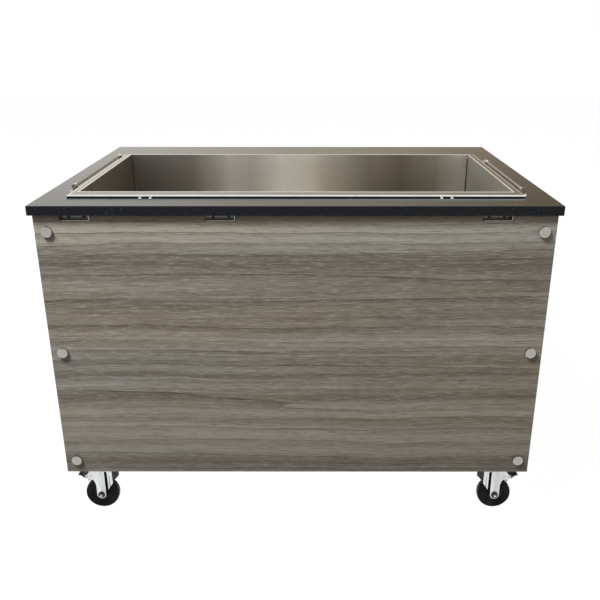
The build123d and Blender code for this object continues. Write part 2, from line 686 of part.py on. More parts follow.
# Upper rails, with the rail above the doors
with BuildPart() as upper_rails:
    cross_rail(POST_FRONT_Y, RAIL_BOTTOM)
    cross_rail(POST_REAR_Y, RAIL_BOTTOM)
    cross_rail(POST_REAR_Y, DOOR_RAIL_BOTTOM)
    side_rail(-POST_X, RAIL_BOTTOM)
    side_rail(POST_X, RAIL_BOTTOM)
    for x, z in bracket_screw_places():
        rod((x, POST_FACE, z), (0, 1, 0), BRACKET_SCREW_R + STUD_FIT, TUBE_WALL, Mode.SUBTRACT)
save(upper_rails, "upper_rails")

# Rails of the base
with BuildPart() as base_rails:
    cross_rail(POST_FRONT_Y, BASE_BOTTOM)
    cross_rail(POST_REAR_Y, BASE_BOTTOM)
    side_rail(-POST_X, BASE_BOTTOM)
    side_rail(POST_X, BASE_BOTTOM)
save(base_rails, "base_rails")


def plate_bolt_places():
    """List the bolt centres of all four caster plates."""
    places = []
    for x in (-CASTER_X, CASTER_X):
        for y in (CASTER_FRONT_Y, CASTER_REAR_Y):
            for step_x in (-PLATE_BOLT_X / 2, PLATE_BOLT_X / 2):
                for step_y in (-PLATE_BOLT_Y / 2, PLATE_BOLT_Y / 2):
                    places.append((x + step_x, y + step_y))
    return places


# Pads across the base's corners, which the casters are bolted to
with BuildPart() as caster_pads:
    for side in (-1, 1):
        low_x = min(side * (POST_SIDE - PAD_LENGTH), side * POST_SIDE)
        high_x = max(side * (POST_SIDE - PAD_LENGTH), side * POST_SIDE)
        block((low_x, POST_FACE, CASTER_HEIGHT), (high_x, POST_FACE + PAD_WIDTH, BASE_BOTTOM))
        block((low_x, REAR_FACE - PAD_WIDTH, CASTER_HEIGHT), (high_x, REAR_FACE, BASE_BOTTOM))
    for x, y in plate_bolt_places():
        rod((x, y, CASTER_HEIGHT), (0, 0, 1), PLATE_BOLT_R + STUD_FIT, PAD, Mode.SUBTRACT)
save(caster_pads, "caster_pads")

# Floor of the cabinet, notched round the posts
with BuildPart() as cabinet_floor:
    block((-POST_SIDE, POST_FACE, BASE_TOP), (POST_SIDE, REAR_FACE, BASE_TOP + FLOOR_SHEET))
    for x in (-POST_X, POST_X):
        for y in (POST_FRONT_Y, POST_REAR_Y):
            half = TUBE / 2 + HINGE_PLAY
            low = (x - half, y - half, BASE_TOP)
            block(low, (x + half, y + half, BASE_TOP + FLOOR_SHEET), Mode.SUBTRACT)
save(cabinet_floor, "cabinet_floor")

# Front panel with three notches in its top edge
with BuildPart() as front_panel:
    block((-HALF_BODY, FRONT_FACE, PANEL_BOTTOM), (HALF_BODY, POST_FACE, SLAB_BOTTOM))
    for x in NOTCH_X:
        low = (x - NOTCH_WIDTH / 2, FRONT_FACE, SLAB_BOTTOM - NOTCH_HEIGHT)
        block(low, (x + NOTCH_WIDTH / 2, POST_FACE, SLAB_BOTTOM), Mode.SUBTRACT)
    for z in CAP_LEVELS:
        for x in (CAP_INSET - HALF_BODY, HALF_BODY - CAP_INSET):
            rod((x, FRONT_FACE, z), (0, 1, 0), STUD_R + STUD_FIT, BOARD, Mode.SUBTRACT)
save(front_panel, "front_panel")


def side_panel(side, name):
    """Make the panel that closes one end of the counter."""
    with BuildPart() as panel:
        low_x = min(side * POST_SIDE, side * HALF_BODY)
        high_x = max(side * POST_SIDE, side * HALF_BODY)
        block((low_x, POST_FACE, PANEL_BOTTOM), (high_x, REAR_FACE, SLAB_BOTTOM))
        for z in CAP_LEVELS:
            for y in (POST_FACE + SIDE_CAP_INSET, REAR_FACE - SIDE_CAP_INSET):
                rod((side * HALF_BODY, y, z), (-side, 0, 0), STUD_R + STUD_FIT, BOARD, Mode.SUBTRACT)
    save(panel, name)


side_panel(-1, "left_side_panel")
side_panel(1, "right_side_panel")


def cap_places():
    """List each cap's centre on its panel's face, with the direction it faces."""
    places = []
    for z in CAP_LEVELS:
        for side in (-1, 1):
            places.append(((side * (HALF_BODY - CAP_INSET), FRONT_FACE, z), (0, -1, 0)))
            for y in (POST_FACE + SIDE_CAP_INSET, REAR_FACE - SIDE_CAP_INSET):
                places.append(((side * HALF_BODY, y, z), (side, 0, 0)))
    return places


# Round caps, each with the stud that goes through the panel into the post
with BuildPart() as panel_caps:
    for place, facing in cap_places():
        rod(place, facing, CAP_R, CAP_THICKNESS)
        inward = tuple(-f for f in facing)
        rod(place, inward, STUD_R, BOARD + STUD_LENGTH)
    for axis, faces in ((Axis.Y, (0,)), (Axis.X, (0, -1))):
        for index in faces:
            rims = panel_caps.faces().filter_by(axis).group_by(axis)[index].edges()
            fillet(rims, CAP_EDGE)
save(panel_caps, "panel_caps")

# Nuts on the studs, inside the posts
with BuildPart() as cap_nuts:
    for place, facing in cap_places():
        start = tuple(p - f * (BOARD + TUBE_WALL) for p, f in zip(place, facing))
        inward = tuple(-f for f in facing)
        with BuildSketch(Plane(origin=start, z_dir=inward)):
            RegularPolygon(NUT_FLATS / 2, 6, major_radius=False)
            Circle(STUD_R + RUNNING_FIT, mode=Mode.SUBTRACT)
        extrude(amount=NUT_HEIGHT)
save(cap_nuts, "cap_nuts")

# Folded brackets in the notches: back, lower lip and one end lip
with BuildPart() as notch_brackets:
    for x in NOTCH_X:
        left = x - NOTCH_WIDTH / 2 + NOTCH_GAP
        right = x + NOTCH_WIDTH / 2 - NOTCH_GAP
        base = SLAB_BOTTOM - NOTCH_HEIGHT
        block((left, POST_FACE - SHEET, base), (right, POST_FACE, SLAB_BOTTOM))
        block((left, POST_FACE - BRACKET_REACH, base), (right, POST_FACE, base + SHEET))
        block((right - SHEET, POST_FACE - BRACKET_REACH, base), (right, POST_FACE, SLAB_BOTTOM))
    for x, z in bracket_screw_places():
        with BuildSketch(Plane(origin=(x, POST_FACE, z), x_dir=(1, 0, 0), z_dir=(0, -1, 0))):
            SlotOverall(BRACKET_SLOT, BRACKET_SLOT_HEIGHT)
        extrude(amount=SHEET, mode=Mode.SUBTRACT)
save(notch_brackets, "notch_brackets")

# Screws of the brackets
with BuildPart() as bracket_screws:
    for x, z in bracket_screw_places():
        rod((x, POST_FACE - SHEET, z), (0, -1, 0), BRACKET_HEAD_R, BRACKET_HEAD)
        rod((x, POST_FACE - SHEET, z), (0, 1, 0), BRACKET_SCREW_R, BRACKET_SHANK)
save(bracket_screws, "bracket_screws")

# Fascia above the doors, with the openings of the controls
with BuildPart() as control_fascia:
    block((-BAY_HALF, REAR_FACE - SHEET, FASCIA_BOTTOM), (BAY_HALF, REAR_FACE, RAIL_BOTTOM))
    back = REAR_FACE - SHEET
    rod((KNOB_X, back, CONTROL_Z), (0, 1, 0), KNOB_SHAFT_R + STUD_FIT, SHEET, Mode.SUBTRACT)
    rod((LAMP_X, back, CONTROL_Z), (0, 1, 0), LAMP_R + RUNNING_FIT, SHEET, Mode.SUBTRACT)
    rod((GLAND_X, back, CONTROL_Z), (0, 1, 0), GLAND_THREAD_R + RUNNING_FIT, SHEET, Mode.SUBTRACT)
    frame_x = ROCKER_LENGTH / 2 + ROCKER_PLAY + ROCKER_WALL
    frame_z = ROCKER_HEIGHT / 2 + ROCKER_PLAY + ROCKER_WALL
    low = (ROCKER_X - frame_x, back, CONTROL_Z - frame_z)
    block(low, (ROCKER_X + frame_x, REAR_FACE, CONTROL_Z + frame_z), Mode.SUBTRACT)
save(control_fascia, "control_fascia")

# Control box between the casing and the fascia
with BuildPart() as control_box:
    half = CONTROL_BOX_LENGTH / 2
    floor = FASCIA_BOTTOM + CONTROL_BOX_GAP
    roof = RAIL_BOTTOM - CONTROL_BOX_GAP
    block((-half, CASING_REAR, floor), (half, REAR_FACE - SHEET, roof))
    inner = half - CASING
    low = (-inner, CASING_REAR, floor + CASING)
    block(low, (inner, REAR_FACE - SHEET, roof - CASING), Mode.SUBTRACT)
save(control_box, "control_box")

# Thermostat body behind the fascia
with BuildPart() as thermostat:
    back = REAR_FACE - SHEET
    half = THERMOSTAT_SIZE / 2
    low = (KNOB_X - half, back - THERMOSTAT_DEPTH, CONTROL_Z - half)
    block(low, (KNOB_X + half, back, CONTROL_Z + half))
    rod((KNOB_X, back, CONTROL_Z), (0, -1, 0), KNOB_SHAFT_R + RUNNING_FIT, KNOB_SHAFT, Mode.SUBTRACT)
save(thermostat, "thermostat")

# Thermostat knob with its shaft and a raised pointer
with BuildPart() as thermostat_knob:
    rod((KNOB_X, REAR_FACE + KNOB_GAP, CONTROL_Z), (0, 1, 0), KNOB_R, KNOB_SKIRT)
    rod((KNOB_X, REAR_FACE + KNOB_GAP, CONTROL_Z), (0, 1, 0), KNOB_GRIP_R, KNOB_DEPTH)
    half = KNOB_POINTER / 2
    low = (KNOB_X - half, REAR_FACE + KNOB_GAP, CONTROL_Z)
    tip = CONTROL_Z + KNOB_POINTER_REACH
    block(low, (KNOB_X + half, REAR_FACE + KNOB_GAP + KNOB_DEPTH, tip))
    shaft_length = KNOB_GAP + SHEET + KNOB_SHAFT - KNOB_GAP / 2
    rod((KNOB_X, REAR_FACE + KNOB_GAP, CONTROL_Z), (0, -1, 0), KNOB_SHAFT_R, shaft_length)
save(thermostat_knob, "thermostat_knob")

# Frame and housing of the power switch
with BuildPart() as rocker_frame:
    back = REAR_FACE - SHEET
    low = (ROCKER_X - frame_x - ROCKER_LIP, REAR_FACE, CONTROL_Z - frame_z - ROCKER_LIP)
    high = (ROCKER_X + frame_x + ROCKER_LIP, REAR_FACE + ROCKER_FRAME, CONTROL_Z + frame_z + ROCKER_LIP)
    block(low, high)
    low = (ROCKER_X - frame_x, back - SWITCH_DEPTH, CONTROL_Z - frame_z)
    block(low, (ROCKER_X + frame_x, REAR_FACE, CONTROL_Z + frame_z))
    pocket_x = frame_x - ROCKER_WALL
    pocket_z = frame_z - ROCKER_WALL
    pocket = REAR_FACE + ROCKER_FRAME - ROCKER_DEPTH - 2 * ROCKER_WALL
    low = (ROCKER_X - pocket_x, pocket, CONTROL_Z - pocket_z)
    block(low, (ROCKER_X + pocket_x, REAR_FACE + ROCKER_FRAME, CONTROL_Z + pocket_z), Mode.SUBTRACT)
    pivot_y = REAR_FACE
    pivot_bore = ROCKER_WALL / 2 + RUNNING_FIT
    rod((ROCKER_X - frame_x, pivot_y, CONTROL_Z), (1, 0, 0), pivot_bore, 2 * frame_x, Mode.SUBTRACT)
save(rocker_frame, "rocker_frame")

# Rocker of the power switch, tilted to off
with BuildPart() as power_rocker:
    pivot = (ROCKER_X, pivot_y, CONTROL_Z)
    tilted = Plane(origin=pivot, x_dir=(1, 0, 0), z_dir=(0, 1, 0)).rotated((ROCKER_TILT, 0, 0))
    with Locations(tilted):
        Box(ROCKER_LENGTH, ROCKER_HEIGHT, ROCKER_DEPTH)
    rod((ROCKER_X - frame_x, pivot_y, CONTROL_Z), (1, 0, 0), ROCKER_WALL / 2, 2 * frame_x)
save(power_rocker, "power_rocker")

# Pilot lamp
with BuildPart() as pilot_lamp:
    rod((LAMP_X, REAR_FACE - SHEET - LAMP_REACH, CONTROL_Z), (0, 1, 0), LAMP_R, LAMP_REACH + SHEET)
    rod((LAMP_X, REAR_FACE, CONTROL_Z), (0, 1, 0), LAMP_R + LAMP_LIP, LAMP_RISE)
    fillet(pilot_lamp.faces().filter_by(Axis.Y).sort_by(Axis.Y)[-1].edges(), LAMP_ROUND)
save(pilot_lamp, "pilot_lamp")

# Inlet gland for the supply lead
with BuildPart() as cord_gland:
    inside = REAR_FACE - SHEET - GLAND_NUT
    rod((GLAND_X, inside, CONTROL_Z), (0, 1, 0), GLAND_THREAD_R, GLAND_NUT + SHEET)
    with BuildSketch(Plane(origin=(GLAND_X, REAR_FACE, CONTROL_Z), z_dir=(0, 1, 0))):
        RegularPolygon(GLAND_FLATS / 2, 6, major_radius=False)
    extrude(amount=GLAND_NUT)
    outside = REAR_FACE + GLAND_NUT
    rod((GLAND_X, outside, CONTROL_Z), (0, 1, 0), GLAND_DOME_R, GLAND_REACH - GLAND_NUT)
    fillet(cord_gland.faces().filter_by(Axis.Y).sort_by(Axis.Y)[-1].edges(), GLAND_ROUND)
    length = GLAND_NUT + SHEET + GLAND_REACH
    rod((GLAND_X, inside, CONTROL_Z), (0, 1, 0), GLAND_BORE_R, length, Mode.SUBTRACT)
save(cord_gland, "cord_gland")

# Doors
DOOR_BOTTOM = BASE_TOP + FLOOR_SHEET + DOOR_GAP
DOOR_TOP = DOOR_RAIL_BOTTOM - DOOR_GAP
DOOR_EDGE = BAY_HALF - DOOR_GAP
HINGE_X = BAY_HALF - DOOR_GAP / 2
HINGE_Y = REAR_FACE + KNUCKLE_R
HINGE_LEVELS = (DOOR_BOTTOM + HINGE_INSET, DOOR_TOP - HINGE_INSET - HINGE_HEIGHT)


def door(side, name):
    """Make one folded door pan, open towards the cabinet."""
    with BuildPart() as pan:
        inner_x = side * DOOR_MEETING_GAP / 2
        outer_x = side * DOOR_EDGE
        low = (min(inner_x, outer_x), REAR_FACE - DOOR, DOOR_BOTTOM)
        high = (max(inner_x, outer_x), REAR_FACE, DOOR_TOP)
        block(low, high)
        pocket_low = (low[0] + DOOR_SKIN, low[1], low[2] + DOOR_SKIN)
        pocket_high = (high[0] - DOOR_SKIN, high[1] - DOOR_SKIN, high[2] - DOOR_SKIN)
        block(pocket_low, pocket_high, Mode.SUBTRACT)
        back = low[1]
        block((low[0], back, low[2]), (low[0] + DOOR_HEM, back + DOOR_SKIN, high[2]))
        block((high[0] - DOOR_HEM, back, low[2]), (high[0], back + DOOR_SKIN, high[2]))
        block((low[0], back, low[2]), (high[0], back + DOOR_SKIN, low[2] + DOOR_HEM))
        block((low[0], back, high[2] - DOOR_HEM), (high[0], back + DOOR_SKIN, high[2]))
    save(pan, name)


def door_handle(side, name):
    """Make one bow handle near the door's free edge."""
    x = side * HANDLE_INSET
    middle = (DOOR_BOTTOM + DOOR_TOP) / 2
    low = middle - HANDLE_LENGTH / 2
    high = middle + HANDLE_LENGTH / 2
    grip_y = REAR_FACE + HANDLE_REACH
    with BuildPart() as handle:
        with BuildLine():
            FilletPolyline(
                (x, REAR_FACE, low), (x, grip_y, low), (x, grip_y, high), (x, REAR_FACE, high),
                radius=HANDLE_BEND,
            )
        with BuildSketch(Plane(origin=(x, REAR_FACE, low), z_dir=(0, 1, 0))):
            Circle(HANDLE_R)
        sweep()
    save(handle, name)


def hinge_leaf(side, towards, bottom, top):
    """Add one leaf to a hinge, with its knuckle from bottom to top and clear of the other knuckle."""
    x = side * HINGE_X
    for z in HINGE_LEVELS:
        reach = side * towards * HINGE_LEAF_WIDTH
        clear = side * towards * (KNUCKLE_R + HINGE_PLAY)
        low = (min(x + clear, x + reach), REAR_FACE, z)
        block(low, (max(x + clear, x + reach), REAR_FACE + HINGE_LEAF, z + HINGE_HEIGHT))
        low = (min(x, x + reach), REAR_FACE, z + bottom)
        block(low, (max(x, x + reach), REAR_FACE + HINGE_LEAF, z + top))
        rod((x, HINGE_Y, z + bottom), (0, 0, 1), KNUCKLE_R, top - bottom)


def moving_hinges(side, name):
    """Make the two leaves that are fixed to one door."""
    with BuildPart() as leaves:
        hinge_leaf(side, -1, HINGE_HEIGHT / 2 + HINGE_PLAY, HINGE_HEIGHT)
        for z in HINGE_LEVELS:
            pin = (side * HINGE_X, HINGE_Y, z)
            rod(pin, (0, 0, 1), HINGE_PIN_R + RUNNING_FIT, HINGE_HEIGHT, Mode.SUBTRACT)
    save(leaves, name)


# Leaves on the posts, with the pins
with BuildPart() as post_hinges:
    for side in (-1, 1):
        hinge_leaf(side, 1, 0, HINGE_HEIGHT / 2)
        for z in HINGE_LEVELS:
            rod((side * HINGE_X, HINGE_Y, z), (0, 0, 1), HINGE_PIN_R, HINGE_HEIGHT)
save(post_hinges, "post_hinges")

for side, word in ((-1, "left"), (1, "right")):
    door(side, word + "_door")
    door_handle(side, word + "_door_handle")
    moving_hinges(side, word + "_door_hinges")

# Caster plates, each with its upper race and kingpin
KINGPIN_BOTTOM = CROWN_BOTTOM - SWIVEL_GAP - KINGPIN_HEAD
CASTERS = {
    "front_left": (-CASTER_X, CASTER_FRONT_Y, -1),
    "front_right": (CASTER_X, CASTER_FRONT_Y, 1),
    "rear_left": (-CASTER_X, CASTER_REAR_Y, -1),
    "rear_right": (CASTER_X, CASTER_REAR_Y, 1),
}
with BuildPart() as caster_plates:
    for x, y, side in CASTERS.values():
        half_x = PLATE_LENGTH / 2
        half_y = PLATE_WIDTH / 2
        block((x - half_x, y - half_y, PLATE_BOTTOM), (x + half_x, y + half_y, CASTER_HEIGHT))
        rod((x, y, PLATE_BOTTOM), (0, 0, -1), RACE_R, RACE_DEPTH)
        rod((x, y, PLATE_BOTTOM), (0, 0, -1), KINGPIN_R, PLATE_BOTTOM - KINGPIN_BOTTOM)
        rod((x, y, KINGPIN_BOTTOM), (0, 0, 1), KINGPIN_HEAD_R, KINGPIN_HEAD)
    for x, y in plate_bolt_places():
        rod((x, y, PLATE_BOTTOM), (0, 0, 1), PLATE_BOLT_R + STUD_FIT, PLATE, Mode.SUBTRACT)
save(caster_plates, "caster_plates")

# Bolts of the caster plates, screwed up into the pads
with BuildPart() as plate_bolts:
    with BuildSketch(Plane.XY.offset(PLATE_BOTTOM - NUT_HEIGHT)):
        with Locations(*plate_bolt_places()):
            RegularPolygon(NUT_FLATS / 2, 6, major_radius=False)
    extrude(amount=NUT_HEIGHT)
    for x, y in plate_bolt_places():
        rod((x, y, PLATE_BOTTOM), (0, 0, 1), PLATE_BOLT_R, PLATE + PAD)
save(plate_bolts, "plate_bolts")

LEG_INNER = HUB_WIDTH / 2 + LEG_GAP
LEG_OUTER = LEG_INNER + LEG
PIVOT_T = TRAIL + PEDAL_AHEAD
PIVOT_Z = 2 * WHEEL_R + PEDAL_ABOVE


def trail_plane(x, y, side):
    """Give the upright plane through a caster, with its first axis along the trail."""
    return Plane(origin=(x, y, 0), x_dir=(side, 0, 0), z_dir=(0, -side, 0))


def caster_fork(x, y, side, name):
    """Make a stamped fork: two legs below a round crown."""
    axle_x = x + side * TRAIL
    pivot_x = x + side * PIVOT_T
    with BuildPart() as fork:
        with BuildSketch(trail_plane(x, y, side)):
            Polygon(
                (-FORK_HEEL, CROWN_BOTTOM + CROWN / 2),
                (PIVOT_T + FORK_NOSE, CROWN_BOTTOM + CROWN / 2),
                (PIVOT_T + FORK_NOSE, PIVOT_Z - FORK_NOSE_DROP),
                (TRAIL + LEG_BOSS_R, PIVOT_Z - 2 * FORK_NOSE_DROP),
                (TRAIL + LEG_BOSS_R, WHEEL_R),
                (TRAIL - LEG_BOSS_R, WHEEL_R),
                (-FORK_KNEE, WHEEL_R + FORK_KNEE_RISE),
                (-FORK_HEEL, CROWN_BOTTOM - FORK_HEEL_DROP),
                align=None,
            )
            with Locations((TRAIL, WHEEL_R)):
                Circle(LEG_BOSS_R)
        extrude(amount=LEG_OUTER, both=True)
        beyond = pivot_x + side * 2 * FORK_NOSE
        low = (min(x - side * CROWN_R, beyond), y - LEG_INNER, 0)
        high = (max(x - side * CROWN_R, beyond), y + LEG_INNER, CROWN_TOP)
        block(low, high, Mode.SUBTRACT)
        rod((x, y, CROWN_BOTTOM), (0, 0, 1), CROWN_R, CROWN)
        rod((x, y, CROWN_BOTTOM), (0, 0, 1), KINGPIN_R + RUNNING_FIT, CROWN, Mode.SUBTRACT)
        for at_x, at_z, radius in ((axle_x, WHEEL_R, AXLE_R), (pivot_x, PIVOT_Z, PEDAL_PIN_R)):
            through = 2 * LEG_OUTER
            rod((at_x, y - LEG_OUTER, at_z), (0, 1, 0), radius + RUNNING_FIT, through, Mode.SUBTRACT)
    save(fork, name)


def caster_wheel(x, y, side, name):
    """Make a wheel with stepped rings on its sides."""
    axle_x = x + side * TRAIL
    half = WHEEL_WIDTH / 2
    near_side = [(AXLE_R + RUNNING_FIT, HUB_WIDTH / 2), (HUB_R, HUB_WIDTH / 2)]
    near_side.append((HUB_R, half * WHEEL_STEPS[0][1]))
    near_side += [(WHEEL_R * r, half * w) for r, w in WHEEL_STEPS]
    far_side = [(r, -w) for r, w in reversed(near_side)]
    with BuildPart() as wheel:
        with BuildSketch(Plane(origin=(axle_x, y, WHEEL_R), x_dir=(1, 0, 0), z_dir=(0, 0, 1))):
            Polygon(*near_side, *far_side, align=None)
        revolve(axis=Axis((axle_x, y, WHEEL_R), (0, 1, 0)))
    save(wheel, name)


def caster_axle(x, y, side, name):
    """Make an axle bolt with its head and its nut outside the legs."""
    axle_x = x + side * TRAIL
    with BuildPart() as axle:
        start_y = y - LEG_OUTER - AXLE_HEAD - AXLE_TIP
        rod((axle_x, start_y, WHEEL_R), (0, 1, 0), AXLE_R, 2 * (LEG_OUTER + AXLE_HEAD) + AXLE_TIP)
        for start, way in ((y - LEG_OUTER, -1), (y + LEG_OUTER, 1)):
            with BuildSketch(Plane(origin=(axle_x, start, WHEEL_R), z_dir=(0, way, 0))):
                RegularPolygon(AXLE_FLATS / 2, 6, major_radius=False)
            extrude(amount=AXLE_HEAD)
    save(axle, name)


def brake_pedal(x, y, side, name):
    """Make a pedal with its pivot pin, two ears and a shoe that follows the wheel."""
    shoe_r = WHEEL_R + SHOE_GAP
    ear_outer = LEG_INNER - PEDAL_GAP

    def on_arc(radius, angle):
        """Give a point on a circle round the axle."""
        return (TRAIL + radius * cos(radians(angle)), WHEEL_R + radius * sin(radians(angle)))

    with BuildPart() as pedal:
        with BuildSketch(trail_plane(x, y, side)):
            with BuildLine():
                ThreePointArc(
                    on_arc(shoe_r, SHOE_START),
                    on_arc(shoe_r, (SHOE_START + SHOE_END) / 2),
                    on_arc(shoe_r, SHOE_END),
                )
                Polyline(
                    on_arc(shoe_r, SHOE_END),
                    (PIVOT_T - SHOE_NECK, PIVOT_Z + SHOE_TOP),
                    (PIVOT_T + PEDAL_HEEL, PIVOT_Z + SHOE_TOP),
                    on_arc(shoe_r + SHOE_DEPTH, SHOE_START),
                    on_arc(shoe_r, SHOE_START),
                )
            make_face()
        extrude(amount=ear_outer - PEDAL_EAR, both=True)
        with BuildSketch(trail_plane(x, y, side)):
            top = PIVOT_Z + PEDAL_LIFT
            tip = PIVOT_T + PEDAL_REACH
            Polygon(
                (PIVOT_T - PEDAL_HEEL, top - PEDAL_PLATE),
                (tip - PEDAL_TOE, top - PEDAL_PLATE - PEDAL_DIP),
                (tip, top - PEDAL_PLATE + PEDAL_SIDE),
                (tip, top + PEDAL_SIDE),
                (tip - PEDAL_TOE, top - PEDAL_DIP),
                (PIVOT_T - PEDAL_HEEL, top),
                align=None,
            )
        extrude(amount=ear_outer, both=True)
        pivot_x = x + side * PIVOT_T
        pin_end = LEG_OUTER + PEDAL_SIDE
        rod((pivot_x, y - ear_outer, PIVOT_Z), (0, 1, 0), PEDAL_EAR_R, PEDAL_EAR)
        rod((pivot_x, y + ear_outer, PIVOT_Z), (0, -1, 0), PEDAL_EAR_R, PEDAL_EAR)
        rod((pivot_x, y - pin_end, PIVOT_Z), (0, 1, 0), PEDAL_PIN_R, 2 * pin_end)
    save(pedal, name)


for word, (x, y, side) in CASTERS.items():
    caster_fork(x, y, side, word + "_fork")
    caster_wheel(x, y, side, word + "_wheel")
    caster_axle(x, y, side, word + "_axle")
    brake_pedal(x, y, side, word + "_brake_pedal")
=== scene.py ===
import math

import bmesh
import bpy
from mathutils import Matrix, Vector


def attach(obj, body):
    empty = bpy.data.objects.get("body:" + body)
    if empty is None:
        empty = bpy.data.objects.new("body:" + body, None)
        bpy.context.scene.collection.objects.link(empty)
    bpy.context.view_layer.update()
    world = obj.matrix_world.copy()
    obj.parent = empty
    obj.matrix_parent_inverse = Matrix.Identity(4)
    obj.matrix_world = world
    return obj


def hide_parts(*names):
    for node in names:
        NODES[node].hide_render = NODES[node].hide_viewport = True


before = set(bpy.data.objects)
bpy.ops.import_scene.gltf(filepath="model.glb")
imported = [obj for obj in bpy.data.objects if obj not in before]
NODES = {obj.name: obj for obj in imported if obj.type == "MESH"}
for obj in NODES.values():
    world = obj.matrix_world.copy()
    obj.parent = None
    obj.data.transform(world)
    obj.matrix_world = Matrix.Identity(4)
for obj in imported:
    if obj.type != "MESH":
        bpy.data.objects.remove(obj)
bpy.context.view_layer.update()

# Everything is in metres; lists of small sizes are written in millimetres and turned by mm()
MERGE = 1e-6
SIDES = (("left", -1), ("right", 1))
UP = (0, 0, 1)
DOWN = (0, 0, -1)
TO_REAR = (0, 1, 0)
TO_GUESTS = (0, -1, 0)
TO_RIGHT = (1, 0, 0)
TO_LEFT = (-1, 0, 0)

# Well and rim
WELL_HALF = 0.51
WELL_FRONT = -0.316
WELL_REAR = 0.213
TANK_FLOOR = 0.658
GRANITE_TOP = 0.85
RIM_MITRE_GAP = 0.0005

# Body
HALF_BODY = 0.59
FRONT_FACE = -0.415
POST_FACE = -0.397
REAR_FACE = 0.385
SLAB_BOTTOM = 0.828
CAP_LEVELS = (0.7894, 0.49, 0.189)
CAP_X = 0.5616
SIDE_CAP_Y = (-0.377, 0.365)
CONTROL_Z = 0.724

# Casters: place of each kingpin, and which way its wheel trails
CASTERS = {
    "front_left": (-0.501, -0.345, -1),
    "front_right": (0.501, -0.345, 1),
    "rear_left": (-0.501, 0.333, -1),
    "rear_right": (0.501, 0.333, 1),
}
TRAIL = 0.0275
WHEEL_R = 0.0445


def mm(points):
    """Turn a list of millimetre points into metres."""
    return [tuple(value / 1000 for value in point) for point in points]


# Node trees


class Net:
    """Wires up one node tree."""

    def __init__(self, tree):
        self.tree = tree

    def feed(self, socket, value):
        """Join an output to a socket, or set the socket's value."""
        if isinstance(value, bpy.types.NodeSocket):
            self.tree.links.new(value, socket)
        else:
            socket.default_value = value

    def node(self, kind, settings=None, **sockets):
        """Make a node, change its settings and feed its sockets by name."""
        made = self.tree.nodes.new("ShaderNode" + kind)
        for name, value in (settings or {}).items():
            setattr(made, name, value)
        for name, value in sockets.items():
            self.feed(made.inputs[name.replace("_", " ")], value)
        return made

    def math(self, operation, *values, clamp=False):
        """Work out one number from others."""
        made = self.node("Math", {"operation": operation, "use_clamp": clamp})
        for socket, value in zip(made.inputs, values):
            self.feed(socket, value)
        return made.outputs[0]

    def times(self, first, second):
        """Multiply two numbers."""
        return self.math("MULTIPLY", first, second)

    def plus(self, first, second, clamp=False):
        """Add two numbers."""
        return self.math("ADD", first, second, clamp=clamp)

    def axis(self, vector, index):
        """Give one of a vector's three numbers."""
        return self.node("SeparateXYZ", Vector=vector).outputs[index]

    def vector(self, operation, *values):
        """Work out one vector from others."""
        made = self.node("VectorMath", {"operation": operation})
        for socket, value in zip(made.inputs, values):
            self.feed(socket, value)
        return made.outputs["Value" if operation == "DOT_PRODUCT" else "Vector"]

    def scaled(self, vector, size):
        """Scale a vector by one number."""
        place = self.vector("SCALE", vector)
        self.feed(place.node.inputs["Scale"], size)
        return place

    def noise(self, vector, stretch, detail=2, roughness=0.5):
        """Give a noise whose grains are stretched along the axes."""
        place = self.vector("MULTIPLY", vector, stretch)
        return self.node("TexNoise", Vector=place, Scale=1, Detail=detail, Roughness=roughness).outputs[0]

    def span(self, value, low, high, to_low=0, to_high=1):
        """Move a number smoothly from one range to another."""
        made = self.node("MapRange", {"interpolation_type": "SMOOTHSTEP"}, Value=value)
        for name, number in (("From Min", low), ("From Max", high), ("To Min", to_low), ("To Max", to_high)):
            self.feed(made.inputs[name], number)
        return made.outputs[0]

    def mix(self, share, first, second, blend="MIX"):
        """Mix two colours by a share."""
        made = self.node("Mix", {"data_type": "RGBA", "blend_type": blend})
        for index, value in ((0, share), (6, first), (7, second)):
            self.feed(made.inputs[index], value)
        return made.outputs[2]

    def ramp(self, value, stops):
        """Turn a number into a colour by stops of place and colour."""
        made = self.node("ValToRGB", Fac=value)
        elements = made.color_ramp.elements
        while len(elements) < len(stops):
            elements.new(0.5)
        for element, (place, colour) in zip(elements, stops):
            element.position = place
            element.color = colour
        return made.outputs["Color"]

    def tinted(self, colour, red, green, blue):
        """Multiply a colour by three numbers."""
        return self.mix(1, colour, rgb(red, green, blue), "MULTIPLY")

    def bump(self, height, strength, distance):
        """Turn a height into a normal."""
        return self.node("Bump", Strength=strength, Distance=distance, Height=height).outputs["Normal"]

    def use(self, group, **sockets):
        """Place a shared effect and return its outputs."""
        return self.node("Group", {"node_tree": group}, **sockets).outputs

    def soiled(self, colour, smudges, share, soil):
        """Mix a soiled colour in where the smudges are."""
        return self.mix(self.times(smudges["Mask"], share), colour, soil)

    def coat(self, **sockets):
        """Feed the sockets of the material's shader by name."""
        for name, value in sockets.items():
            self.feed(self.tree.nodes["Principled BSDF"].inputs[name.replace("_", " ")], value)


def rgb(red, green, blue):
    """Give a colour for a socket."""
    return (red, green, blue, 1)


def shared_effect(name, inputs, outputs):
    """Start a shared effect and return its net, its input sockets and its output node."""
    tree = bpy.data.node_groups.new(name, "ShaderNodeTree")
    for label, kind, value in inputs:
        socket = tree.interface.new_socket(name=label, in_out="INPUT", socket_type="NodeSocket" + kind)
        if value is not None:
            socket.default_value = value
    for label, kind in outputs:
        tree.interface.new_socket(name=label, in_out="OUTPUT", socket_type="NodeSocket" + kind)
    return Net(tree), tree.nodes.new("NodeGroupInput").outputs, tree.nodes.new("NodeGroupOutput").inputs


